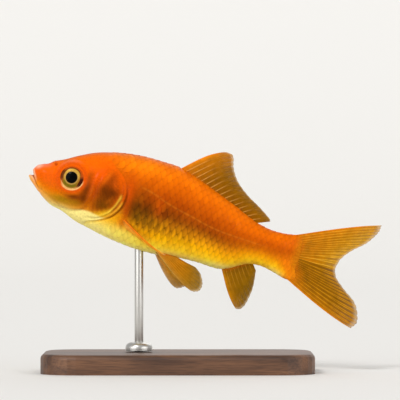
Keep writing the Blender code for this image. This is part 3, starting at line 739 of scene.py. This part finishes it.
def scale_points(root, side, tucked):
    """The plate's points at one root, side -1 (left) or 1 (right), tucked into the skin or not."""
    x, row, median = root
    pitch = float(along(SCALE_PITCH, x)[0])
    at = x + (plate[:, 0] - 0.55) * pitch * SCALE_LENGTH
    high = along(ROW_HEIGHT, at)[0]
    if median:
        whole = np.interp(at, stations, half_girth)
        up = (whole if row > 0 else 0.0) - np.interp(at, stations, line_girth)
        up = up + plate[:, 1] * high * SCALE_HALF_HEIGHT
    else:
        up = (row + plate[:, 1] * SCALE_HALF_HEIGHT) * high
    rooted = 0.18 * (1 - blend(0.0, 0.3, plate[:, 0]))
    bare = over_skin(at, up, side, 0 * at)
    low = (1 - 0.6 * float(blend(62, 69.5, x))) * (1 - 0.4 * tucked)
    lift = (SCALE_LIFT * plate[:, 0] + plate[:, 2] * SCALE_THICKNESS) * low + 0.04 * median
    corners_in = blend(0.5, 1.0, np.abs(plate[:, 1])) * (1 - blend(0.35, 0.8, plate[:, 0]))
    lift -= rooted * (1 + 0.6 * tucked) + 0.22 * tucked * corners_in
    return over_skin(at, up, side, lift + np.clip(relief(*bare.T), -0.3, 0.35))


plates, places = [], []
for side in (-1, 1):
    placed = {}
    for root in roots:
        if root[2] and side > 0:
            continue
        shape = scale_points(root, side, 0.0)
        middle = shape.mean(0)
        ahead = off_line(shape[:, 0], shape[:, 2], GILL_OPENING)
        on_nape = middle[2] > NAPE_ABOVE
        # no scales over the gill opening, round the pectoral fin, on the head or on the tail fin
        if not on_nape and (ahead < OUT_OF_REACH).all() and ahead.max() > -0.7:
            continue
        if math.hypot(middle[0] - PECTORAL_AT[0], middle[2] - PECTORAL_AT[1]) < PECTORAL_BARE:
            continue
        if (on_nape and shape[:, 0].min() < 15.2 + 0.1 * (middle[2] - 10)) or middle[0] < 15:
            continue
        if shape[:, 0].max() > tail_root(middle[2]) + 0.2:
            continue
        # the first plate of each row has nothing over it, so its root goes under the skin
        placed[root[1]] = placed.get(root[1], 0) + 1
        if placed[root[1]] < 3:
            shape = scale_points(root, side, (1.0, 0.4)[placed[root[1]] - 1])
        plates.append(shape)
        places.append((root[0] / 70, 0.5 + side * 0.24 * (1 + (middle[2] - 3) / 14)))
count = len(plates)
corners = len(plate)
faces = [[corner + k * corners for corner in face] for k in range(count) for face in plate_faces]
scales = new_piece("scales", np.vstack(plates).tolist(), [], faces)
turn_faces_out()
bpy.ops.object.shade_smooth_by_angle(angle=math.radians(40))

mesh = scales.data
corner_of = np.empty(len(mesh.loops), int)
mesh.loops.foreach_get("vertex_index", corner_of)
own = plate[corner_of % corners]
lie = mesh.uv_layers.new(name="Lie")
from_root = np.clip(own[:, 0] / free_edge(own[:, 1]), 0, 1)
lie.data.foreach_set("uv", np.stack([from_root, own[:, 1] / 2 + 0.5], -1).ravel())
bake = mesh.uv_layers.new(name="OFBake")
patch = np.array(places)[corner_of // corners]
patch = patch + np.stack([own[:, 0] - 0.5, own[:, 1] / 2], -1) * BAKE_PATCH
bake.data.foreach_set("uv", patch.ravel())

# No two scales are quite alike, and the brighter one is the yellower. Their ramp of pigment, painted
# shadow and painted highlight shows most low on the flank, which the cover says.
chance = np.random.default_rng(7)
flat = points_of(scales)
height = height_share(flat[:, 0], flat[:, 2])
edged = hump(height - 0.34, 0.18) * (1 - blend(46, 60, flat[:, 0]))
spread = 0.045 + 0.10 * hump(height - 0.42, 0.16) * (1 - blend(36, 48, flat[:, 0]))
spread += 0.015 * (hump(height - 0.12, 0.16) + hump(height - 0.80, 0.20))
tint = 1 + np.repeat(np.clip(chance.normal(0.0, 1.0, count), -1.8, 1.8), corners) * spread
colours = fish_colours(flat) * tint[:, None] ** np.array((0.8, 1.25, 1.0))
paint(scales, np.clip(colours, 0, 1), cover=np.clip(edged, 0, 1))

# Fish scale: clear horn over silvery pigment, rather glossy. Its hidden front is darker, partly pigment
# and partly painted shadow of the scale over it; a painted highlight makes the band by its free edge
# pale; and growth rings run parallel to the edge, drawn coarse at a sixth of a millimetre.
horny_scale = new_material("lacquered_fish_scale")
coats = add_node(horny_scale, "ShaderNodeAttribute", attribute_name="paint")
lie_map = add_node(horny_scale, "ShaderNodeUVMap", uv_map="Lie").outputs["UV"]
from_root = add_node(horny_scale, "ShaderNodeSeparateXYZ", {"Vector": lie_map}).outputs["X"]
# the ramp darkens the covered root, partly with painted shadow, and gives the band by the free edge a
# painted highlight
shadow_and_highlight_ramp = add_node(horny_scale, "ShaderNodeValToRGB", {"Fac": from_root})
for position, shade in ((0.36, 0.62), (0.56, 0.86), (0.74, 1.16), (0.90, 1.10), (0.96, 0.84)):
    shadow_and_highlight_ramp.color_ramp.elements.new(position).color = (shade, shade, shade, 1)
shadow_and_highlight_ramp.color_ramp.elements[0].color = (0.6, 0.6, 0.6, 1)
shadow_and_highlight_ramp.color_ramp.elements[-1].color = (0.70, 0.70, 0.70, 1)
contrast = add_node(
    horny_scale, "ShaderNodeMapRange", {"Value": coats.outputs["Alpha"], "To Min": 0.26, "To Max": 1.0}
)
shaded = add_node(
    horny_scale, "ShaderNodeMix", {"Factor": contrast.outputs["Result"]}, data_type="RGBA",
    blend_type="MULTIPLY",
)
horny_scale.node_tree.links.new(coats.outputs["Color"], shaded.inputs[6])
horny_scale.node_tree.links.new(shadow_and_highlight_ramp.outputs["Color"], shaded.inputs[7])
rings = add_node(horny_scale, "ShaderNodeMath", {0: from_root, 1: 100.0}, operation="MULTIPLY")
wave = add_node(horny_scale, "ShaderNodeMath", {0: rings.outputs[0]}, operation="SINE")
ribbed = add_node(
    horny_scale, "ShaderNodeBump", {"Height": wave.outputs[0], "Strength": 0.15, "Distance": 0.00002}
)
lacquer = add_node(horny_scale, "ShaderNodeBsdfPrincipled", {
    "Base Color": shaded.outputs[2],
    "Roughness": 0.38,
    "Specular IOR Level": 0.05,
    "Specular Tint": (1.0, 0.5, 0.1, 1.0),
    "Coat Weight": 0.05,
    "Coat Roughness": 0.15,
    "Normal": ribbed.outputs["Normal"],
})
add_node(horny_scale, "ShaderNodeOutputMaterial", {"Surface": lacquer.outputs["BSDF"]})
set_in_pose(scales)
mesh.materials.append(horny_scale)
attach(scales, "root")

# ---------------------------------------------------------------- eyes
# Each eye is a flattened glass-smooth ball sunk in its socket: a black pupil with the lens bulging
# in it, a bright ring, a gold iris and a dark outer rim, partly painted shade, with a pale crescent
# of painted light below. It is one ball, shaped and painted.
PUPIL = 1.55

# Eye: painted gold leaf and black under a thick, perfectly smooth clear coat.
glassy_eye = new_material("polished_painted_eye")
coats = add_node(glassy_eye, "ShaderNodeAttribute", attribute_name="paint").outputs
place = add_node(glassy_eye, "ShaderNodeTexCoord").outputs["Object"]
flecks = add_node(glassy_eye, "ShaderNodeTexNoise", {"Vector": place, "Scale": 5000.0, "Detail": 2.0})
glass = add_node(glassy_eye, "ShaderNodeBsdfPrincipled", {
    "Base Color": shaded_by(glassy_eye, coats["Color"], flecks.outputs["Fac"], 0.3, 0.7, 0.75, 1.2),
    "Metallic": coats["Alpha"],
    "Roughness": 0.3,
    "Specular IOR Level": 0.02,
    "Coat Weight": 0.045,
    "Coat Roughness": 0.02,
})
add_node(glassy_eye, "ShaderNodeOutputMaterial", {"Surface": glass.outputs["BSDF"]})

for name, side in (("eye_left", -1), ("eye_right", 1)):
    bpy.ops.mesh.primitive_uv_sphere_add(segments=72, ring_count=60, radius=1.0)
    eye = bpy.context.object
    eye.name = f"{name}_ball"
    ball = points_of(eye)
    back, up, front = ball[:, 0] * EYE_RADIUS, ball[:, 1] * EYE_RADIUS, ball[:, 2] > 0
    wide = np.hypot(back, up)
    bulge = 0.08 * hump(wide, PUPIL * 0.7) - 0.08 * hump(wide - 2.0, 0.45)
    deep = (EYE_DEPTH - 0.03) * ball[:, 2] + bulge * front
    # round the pupil a bright ring, gold above, olive below; outside it red-brown with painted shade,
    # darkest fore and aft and along the top, and a pale crescent of painted light below
    angle = np.degrees(np.arctan2(up, back))

    def facing(degrees, spread):
        """1 towards this direction from the pupil, 0 when spread away from it."""
        off = np.abs((angle - degrees + 180) % 360 - 180)
        return 1 - blend(0.4 * spread, spread, off)

    limit = 2.0 + 0.22 * facing(90, 80) + 0.52 * facing(-88, 76)
    outer = blend(0.0, 0.2, wide - limit)
    colours = sprayed(np.repeat(linear("A87420")[None], len(ball), 0), (
        ("D8A840", 0.9 * facing(80, 110) * hump(wide - 2.0, 0.30)),
        ("6E620C", 0.95 * facing(-85, 85) * hump(wide - 2.15, 0.45)),
        ("B04A0A", 0.95 * outer),
        # painted shade: a thin dark line along the top, under the socket's rim
        ("4E1808", 0.9 * hump(wide - limit - 0.16, 0.14) * facing(80, 110)),
        ("D0540A", 0.8 * blend(2.5, 2.8, wide) * facing(95, 85)),
        # painted shade round the iris, darkest fore and aft
        ("441806", outer * facing(-166, 42)),
        ("5A2A0A", 0.9 * outer * facing(2, 42)),
        # painted light: a pale crescent along the lower rim
        ("F8CC78", 0.95 * hump(wide - 2.82, 0.16) * facing(-86, 70)),
        ("ECC068", 0.75 * hump(wide - PUPIL - 0.10, 0.09)),
        ("030202", 1 - blend(PUPIL - 0.05, PUPIL + 0.04, wide)),
        ("7A3008", blend(3.02, 3.15, wide) + ~front),
    ))
    gold = blend(PUPIL, PUPIL + 0.1, wide) * (1 - blend(1.9, 2.2, wide)) * 0.2
    paint(eye, colours, cover=gold)
    centre, tailward, upward, out = eye_place(side)
    shape = centre + back[:, None] * tailward + up[:, None] * upward + deep[:, None] * out
    put_points(eye, shape)
    turn_faces_out()
    eye.data.shade_smooth()
    set_in_pose(eye)
    eye.data.materials.append(glassy_eye)
    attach(eye, "root")
    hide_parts(name)

# ---------------------------------------------------------------- fins
# A fin is a thin web held out by bony rays, which fork towards the edge and are jointed all along.
# Each is a grid laid out from its base to its edge and thickened more at the rays than between.
FIN_ROOT, FIN_EDGE = 0.80, 0.26
COLUMNS_PER_RAY = 14
FIN_ROWS = 44


def fin_surface(base, margin, bow, flutter, share, out):
    """Points at share of the way across a fin and out of the way to its edge, with its normal."""
    corner, last = along(base, 0.0), along(base, 1.0)
    leading, trailing = along(margin, 0.0) - corner, along(margin, 1.0) - corner
    across = np.cross(leading, trailing)
    across /= np.linalg.norm(across)
    lead = corner - last
    root, tip = along(base, share).T, along(margin, share).T
    ray = tip - root
    length = np.linalg.norm(ray, axis=1, keepdims=True)
    ray /= length
    forward = lead - (ray @ lead)[:, None] * ray
    forward /= np.linalg.norm(forward, axis=1, keepdims=True)
    bend = bow * (1 - share) * 4 * out * (1 - out) * (0.4 + 1.1 * out)
    wave = flutter * out**2 * np.sin(2 * math.pi * share)
    point = root + (tip - root) * out[:, None] + forward * bend[:, None] + across * wave[:, None]
    return point, length[:, 0] * out


def ray_profile(share, out, rays):
    """How much of a ray there is at a place of the fin, from 0 on the web to 1 on its crest."""
    count = rays - 1
    off = np.abs(share * count - np.rint(share * count))
    off = np.abs(off - 0.16 * blend(0.38, 0.75, out))  # the ray forks in two
    off = np.abs(off - 0.075 * blend(0.66, 0.95, out))  # and each branch in two again
    width = 0.115 - 0.05 * blend(0.35, 0.7, out)
    unbranched = share * count < 0.5
    off = np.where(unbranched, share * count * 0.6, off)
    return hump(off, np.where(unbranched, 0.16, 0.75 * width))


def make_fin(
    name, node, rays, base, margin, web, rim, edge_colour, bow=0.0, flutter=0.0, ray_colour="E8A850",
    flesh=(0.18, 0.18), ray_end=0.65,
):
    """A fin from its base to its margin that stands for a node, coloured from web to rim.

    The rays show up to ray_end, and flesh says how far it covers the first and the last ray's root.
    """
    columns = (rays - 1) * COLUMNS_PER_RAY
    bpy.ops.mesh.primitive_grid_add(x_subdivisions=columns, y_subdivisions=FIN_ROWS, size=2)
    fin = bpy.context.object
    fin.name = name
    grid = points_of(fin)
    share, out = (grid[:, 0] + 1) / 2, (grid[:, 1] + 1) / 2
    between = np.abs(share * (rays - 1) - np.rint(share * (rays - 1))) * 2
    notch = 1 - 0.009 * between**2 * (share > 0.02) * (share < 0.98)
    point, reach = fin_surface(base, margin, bow, flutter, share, out * notch)
    put_points(fin, point)
    crest = ray_profile(share, out, rays)
    body_thick = FIN_ROOT + (FIN_EDGE - FIN_ROOT) * np.minimum(1, 1.5 * out)
    thick = body_thick * (0.42 + 0.58 * crest)
    thick *= 1 - 0.55 * blend(0.86, 1.0, out)
    group = fin.vertex_groups.new(name="thickness")
    for i, weight in enumerate(thick / FIN_ROOT):
        group.add([i], float(weight), "REPLACE")
    fleshy = flesh[0] + (flesh[1] - flesh[0]) * share
    colours = sprayed(np.repeat(linear(web)[None], len(grid), 0), (
        (rim, blend(0.35, 1.0, out)),
        (edge_colour, 0.35 * (1 - blend(0.03, 0.35, share))),
        (ray_colour, 0.75 * crest * (1 - 0.85 * blend(ray_end - 0.5, ray_end, out))),
        ("E07A0C", 0.85 * (1 - blend(0.0, fleshy, out))),
        (edge_colour, 0.9 * hump(share, 0.6 / (rays - 1)) * (1 - blend(0.7, 1.0, out))),
        ("E8CC98", 0.5 * blend(0.93, 1.0, out)),
    ))
    cover = 0.97 + 0.03 * crest - 0.20 * blend(0.6, 1.0, out) * (1 - crest)
    paint(fin, colours, cover=np.clip(cover - 0.25 * blend(0.94, 1.0, out), 0, 1))
    length = fin.data.attributes.new("reach", "FLOAT", "POINT")
    length.data.foreach_set("value", reach)
    finish_with(fin, "SOLIDIFY", thickness=FIN_ROOT, offset=0.0, vertex_group="thickness")
    fin.vertex_groups.clear()
    turn_faces_out()
    fin.data.shade_smooth()
    set_in_pose(fin)
    fin.data.materials.append(fin_web)
    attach(fin, "root")
    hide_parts(node)


# Fin web: amber skin so thin that light comes through it, moist, over bony rays that are jointed
# every half millimetre. It covers less where it is thinnest, between the rays and at the edge.
fin_web = new_material("translucent_fin_web")
coats = add_node(fin_web, "ShaderNodeAttribute", attribute_name="paint").outputs
reach = add_node(fin_web, "ShaderNodeAttribute", attribute_name="reach").outputs["Fac"]
joints = add_node(fin_web, "ShaderNodeMath", {0: reach, 1: 2 * math.pi / 0.5}, operation="MULTIPLY")
joint_wave = add_node(fin_web, "ShaderNodeMath", {0: joints.outputs[0]}, operation="SINE").outputs[0]
jointed = add_node(
    fin_web, "ShaderNodeBump", {"Height": joint_wave, "Strength": 0.2, "Distance": 0.00003}
)
place = add_node(fin_web, "ShaderNodeTexCoord").outputs["Object"]
cloudy = add_node(fin_web, "ShaderNodeTexNoise", {"Vector": place, "Scale": 700.0, "Detail": 3.0})
thin_skin = add_node(fin_web, "ShaderNodeBsdfPrincipled", {
    "Base Color": shaded_by(fin_web, coats["Color"], cloudy.outputs["Fac"], 0.3, 0.7, 0.85, 1.12),
    "Alpha": coats["Alpha"],
    "Roughness": 0.45,
    "Specular IOR Level": 0.05,
    "Specular Tint": (1.0, 0.6, 0.2, 1.0),
    "Coat Weight": 0.03,
    "Coat Roughness": 0.2,
    "Normal": jointed.outputs["Normal"],
})
add_node(fin_web, "ShaderNodeOutputMaterial", {"Surface": thin_skin.outputs["BSDF"]})


def flat_curve(*points):
    """Curve points on the fish's midline, given as (share, x, z)."""
    return tuple((share, x, 0.0, z) for share, x, z in points)


make_fin(
    "dorsal_web", "dorsal_fin", 17,
    flat_curve((0, 34.6, 13.4), (0.5, 46, 10.2), (1, 56.6, 6.4)),
    flat_curve(
        (0, 44.8, 21.35), (0.05, 46.2, 21.25), (0.1, 46.9, 20.5), (0.24, 47.7, 18.1),
        (0.42, 49.8, 15.2), (0.6, 53.2, 12.7), (0.8, 56.9, 10.8), (0.95, 60.2, 8.8), (1, 60.5, 8.2),
    ),
    web="8E5602", rim="865804", edge_colour="F08A10", bow=0.8,
)
make_fin(
    "anal_web", "anal_fin", 9,
    flat_curve((0, 52.3, -6.4), (1, 59.2, -2.6)),
    flat_curve(
        (0, 59.0, -15.2), (0.08, 59.9, -15.1), (0.22, 60.8, -14.0), (0.45, 61.3, -11.8),
        (0.7, 61.5, -8.8), (1, 60.9, -4.6),
    ),
    web="8A5C02", rim="7A5602", edge_colour="C07C0C", bow=0.5, ray_colour="CC8E28",
)
make_fin(
    "tail_web_upper", "tail_fin_upper", 14,
    flat_curve((0, 66, 6.2), (0.35, 68.3, 4.6), (1, 68.9, 1.58)),
    flat_curve(
        (0, 87.4, 15.9), (0.2, 87.2, 13.9), (0.45, 85.3, 10.6), (0.7, 82.2, 7.5), (0.88, 80.2, 4.6),
        (1, 79.6, 1.88),
    ),
    web="B87004", rim="B07C0A", edge_colour="E8840C", bow=0.4, flutter=0.5, ray_colour="FABC38",
    flesh=(0.22, 0.16), ray_end=1.3,
)
make_fin(
    "tail_web_lower", "tail_fin_lower", 13,
    flat_curve((0, 66, -3), (0.35, 68.3, -1.4), (1, 68.9, 1.62)),
    flat_curve(
        (0, 88, -11), (0.2, 89, -8.9), (0.45, 87.2, -4.9), (0.7, 83.2, -2.1), (0.88, 80.6, 0),
        (1, 79.6, 1.92),
    ),
    web="905A02", rim="845602", edge_colour="CC7A08", bow=0.6, flutter=0.5, ray_colour="E8A01C",
    flesh=(0.38, 0.16), ray_end=1.3,
)
make_fin(
    "pelvic_web_left", "pelvic_fin_left", 9,
    ((0, 35.6, -2.6, -7.6), (1, 38.9, -1.3, -7.3)),
    (
        (0, 46.9, -6.9, -14.2), (0.12, 47.8, -6.6, -14.2), (0.35, 49.0, -5.9, -13.5),
        (0.6, 49.2, -4.6, -11.9), (0.82, 48.4, -3.0, -10.2), (0.93, 47.4, -2.1, -9.1),
        (1, 46.2, -1.5, -8.4),
    ),
    web="B47006", rim="8A6612", edge_colour="C08A34", bow=0.7, ray_colour="DC9C34",
)
# The right pelvic fin is painted much lighter than the left, as painted light against the shade that
# the left fin casts on it.
make_fin(
    "pelvic_web_right", "pelvic_fin_right", 9,
    ((0, 35.2, 2.6, -7.7), (1, 38.4, 1.3, -7.4)),
    (
        (0, 42.7, 6.2, -14.9), (0.12, 43.5, 5.9, -15.0), (0.35, 45.0, 5.1, -14.1),
        (0.6, 46.2, 3.9, -12.4), (1, 45.4, 1.5, -9.2),
    ),
    web="F0A41C", rim="C49034", edge_colour="F0C890", bow=0.7,
)
# The pectoral fins are painted lighter than the other fins: partly their own yellow, partly painted
# light against the shade they hang in.
for side, name in ((-1, "left"), (1, "right")):
    make_fin(
        f"pectoral_web_{name}", f"pectoral_fin_{name}", 10,
        ((0, 24.5, side * 5.6, -2.0), (1, 25.1, side * 4.6, -3.8)),
        (
            (0, 38.2, side * 9.4, -7.7), (0.3, 37.4, side * 8, -7.8), (0.65, 34.4, side * 6.4, -7.2),
            (1, 30.6, side * 5.5, -5.8),
        ),
        web="FFB220", rim="FFBC34", edge_colour="F47C0C", bow=-0.8,
    )

# ---------------------------------------------------------------- stand
# A flat walnut base with a rounded edge, a turned steel collar screwed to it, and a ground steel rod
# that goes up into the belly. The base keeps its solid; rod and collar are turned smooth again.
ROD_CHAMFER = 0.15
COLLAR_PROFILE = (  # distance from the rod's axis and height, in millimetres
    (1.15, 0.0), (3.25, 0.0), (3.4, 0.15), (3.4, 0.40), (3.33, 0.44), (3.33, 0.54), (3.4, 0.58),
    (3.4, 0.80), (3.34, 1.16), (3.17, 1.50), (2.89, 1.79), (2.53, 2.01), (2.10, 2.15), (1.65, 2.20),
    (1.3, 2.20), (1.15, 2.08), (1.15, 0.0),
)
# Oiled walnut: dark, long-figured wood with open pores that catch the light along the grain.
walnut = new_material("oiled_walnut")
place = add_node(walnut, "ShaderNodeTexCoord").outputs["Object"]
stretched = add_node(walnut, "ShaderNodeMapping", {"Vector": place, "Scale": (14.0, 150.0, 150.0)})
figure = add_node(walnut, "ShaderNodeTexNoise", {
    "Vector": stretched.outputs[0], "Scale": 1.6, "Detail": 5.0, "Distortion": 0.5,
})
drawn_out = add_node(walnut, "ShaderNodeMapping", {"Vector": place, "Scale": (220.0, 3500.0, 3500.0)})
pores = add_node(
    walnut, "ShaderNodeTexNoise", {"Vector": drawn_out.outputs[0], "Scale": 1.0, "Detail": 2.0}
).outputs["Fac"]
wood = add_node(walnut, "ShaderNodeValToRGB", {"Fac": figure.outputs["Fac"]})
for stop, position, colour in zip(wood.color_ramp.elements, (0.34, 0.66), ("3E2415", "7A5236")):
    stop.position, stop.color = position, (*linear(colour), 1)
open_grain = add_node(walnut, "ShaderNodeBump", {"Height": pores, "Strength": 0.25, "Distance": 0.0001})
oiled = add_node(walnut, "ShaderNodeBsdfPrincipled", {
    "Base Color": shaded_by(walnut, wood.outputs["Color"], pores, 0.35, 0.55, 0.62, 1.0),
    "Roughness": 0.45,
    "Normal": open_grain.outputs["Normal"],
})
add_node(walnut, "ShaderNodeOutputMaterial", {"Surface": oiled.outputs["BSDF"]})

# Stainless steel, turned and finely brushed: a soft grey metal with streaks that run round it.
steel = new_material("brushed_stainless_steel")
place = add_node(steel, "ShaderNodeTexCoord").outputs["Object"]
streaks = add_node(steel, "ShaderNodeMapping", {"Vector": place, "Scale": (300.0, 300.0, 9000.0)})
brushed = add_node(
    steel, "ShaderNodeTexNoise", {"Vector": streaks.outputs[0], "Scale": 1.0, "Detail": 2.0}
)
dullness = add_node(steel, "ShaderNodeMapRange", {
    "Value": brushed.outputs["Fac"], "From Min": 0.3, "From Max": 0.7, "To Min": 0.27, "To Max": 0.36,
})
metal = add_node(steel, "ShaderNodeBsdfPrincipled", {
    "Base Color": (*linear("C9C7C2"), 1), "Metallic": 1.0, "Roughness": dullness.outputs["Result"],
})
add_node(steel, "ShaderNodeOutputMaterial", {"Surface": metal.outputs["BSDF"]})

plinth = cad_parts["stand_base"]
plinth.data.materials.clear()
plinth.data.materials.append(walnut)

low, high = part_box("stand_rod")
rod_axis = Vector(((low[0] + high[0]) / 2, (low[1] + high[1]) / 2, 0.0))
middle = rod_axis + Vector((0, 0, (low[2] + high[2]) / 2))
bpy.ops.mesh.primitive_cylinder_add(
    vertices=72, radius=(high[0] - low[0]) / 2, depth=high[2] - low[2], location=middle
)
rod = bpy.context.object
rod.name = "stand_ground_rod"
bpy.ops.object.transform_apply(location=True)
bpy.ops.object.mode_set(mode="EDIT")
bpy.ops.mesh.select_all(action="DESELECT")
bpy.ops.object.mode_set(mode="OBJECT")
for face in rod.data.polygons:
    face.select = abs(face.normal.z) > 0.9
bpy.ops.object.mode_set(mode="EDIT")
bpy.ops.mesh.bevel(offset=ROD_CHAMFER * MM, segments=2, affect="EDGES")
bpy.ops.object.mode_set(mode="OBJECT")

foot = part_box("stand_collar")[0][2]
profile = [rod_axis + Vector((out * MM, 0.0, foot + up * MM)) for out, up in COLLAR_PROFILE]
edges = [(i, i + 1) for i in range(len(profile) - 1)]
collar = new_piece("stand_turned_collar", profile, edges, [])
bpy.ops.object.mode_set(mode="EDIT")
bpy.ops.mesh.select_all(action="SELECT")
bpy.ops.mesh.spin(steps=72, angle=2 * math.pi, center=rod_axis, axis=(0, 0, 1))
bpy.ops.mesh.select_all(action="SELECT")
bpy.ops.mesh.remove_doubles(threshold=1e-6)
bpy.ops.object.mode_set(mode="OBJECT")
turn_faces_out()
for piece, node in ((rod, "stand_rod"), (collar, "stand_collar")):
    pick(piece)
    bpy.ops.object.shade_smooth_by_angle(angle=math.radians(35))
    piece.data.materials.append(steel)
    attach(piece, "root")
    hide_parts(node)
bpy.ops.object.select_all(action="DESELECT")

# ---------------------------------------------------------------- floor, light and camera
# A pale table top that sweeps up behind the fish, broad soft lights, and a level camera that
# looks straight at the fish's left side.
FLOOR_RADIUS, SWEEP_FROM, SWEEP = 3.2, 1.0, 0.25

bpy.ops.mesh.primitive_circle_add(vertices=96, radius=FLOOR_RADIUS, fill_type="NGON")
floor = bpy.context.object
floor.name = "floor"
bpy.ops.object.mode_set(mode="EDIT")
bpy.ops.mesh.select_all(action="SELECT")
for ring in range(24):
    bpy.ops.mesh.inset(thickness=0.1, depth=0)
bpy.ops.object.mode_set(mode="OBJECT")
table = points_of(floor)
table[:, 2] = SWEEP * np.maximum(table[:, 1] - SWEEP_FROM, 0) ** 2
put_points(floor, table)
floor.data.shade_smooth()
# Matt card: pale and quite without shine, so it shows only the soft shadows.
pale_card = new_material("matt_pale_card")
card = add_node(
    pale_card, "ShaderNodeBsdfPrincipled", {"Base Color": (*linear("E8E6E2"), 1), "Roughness": 0.9}
)
add_node(pale_card, "ShaderNodeOutputMaterial", {"Surface": card.outputs["BSDF"]})
floor.data.materials.append(pale_card)

world = bpy.context.scene.world or bpy.data.worlds.new("studio")
bpy.context.scene.world = world
world.use_nodes = True
sky = world.node_tree.nodes["Background"].inputs
sky["Color"].default_value, sky["Strength"].default_value = (1.0, 1.0, 1.0, 1), 0.55
for name, at, spread, strength in (  # each shines from its place, as broad as spread, in degrees
    ("window", (-0.45, -0.80, 0.80), 16, 1.2),
    ("card_ahead", (-0.90, -0.75, 0.16), 50, 0.9),
    ("card_behind", (0.90, -0.75, 0.16), 50, 0.9),
    ("behind", (0.3, 0.8, 0.7), 50, 0.6),
):
    bpy.ops.object.light_add(type="SUN", location=at)
    light = bpy.context.object
    light.name = name
    light.data.angle, light.data.energy = math.radians(spread), strength
    light.rotation_euler = Vector(at).to_track_quat("Z", "Y").to_euler()

bpy.ops.object.camera_add(location=(0.0055, -0.90, 0.043), rotation=(math.radians(90), 0, 0))
camera = bpy.context.object
camera.data.sensor_width, camera.data.lens = 36.0, 324.0
camera.data.clip_start, camera.data.clip_end = 0.01, 20.0
bpy.context.scene.camera = camera
bpy.context.scene.view_settings.view_transform = "Standard"
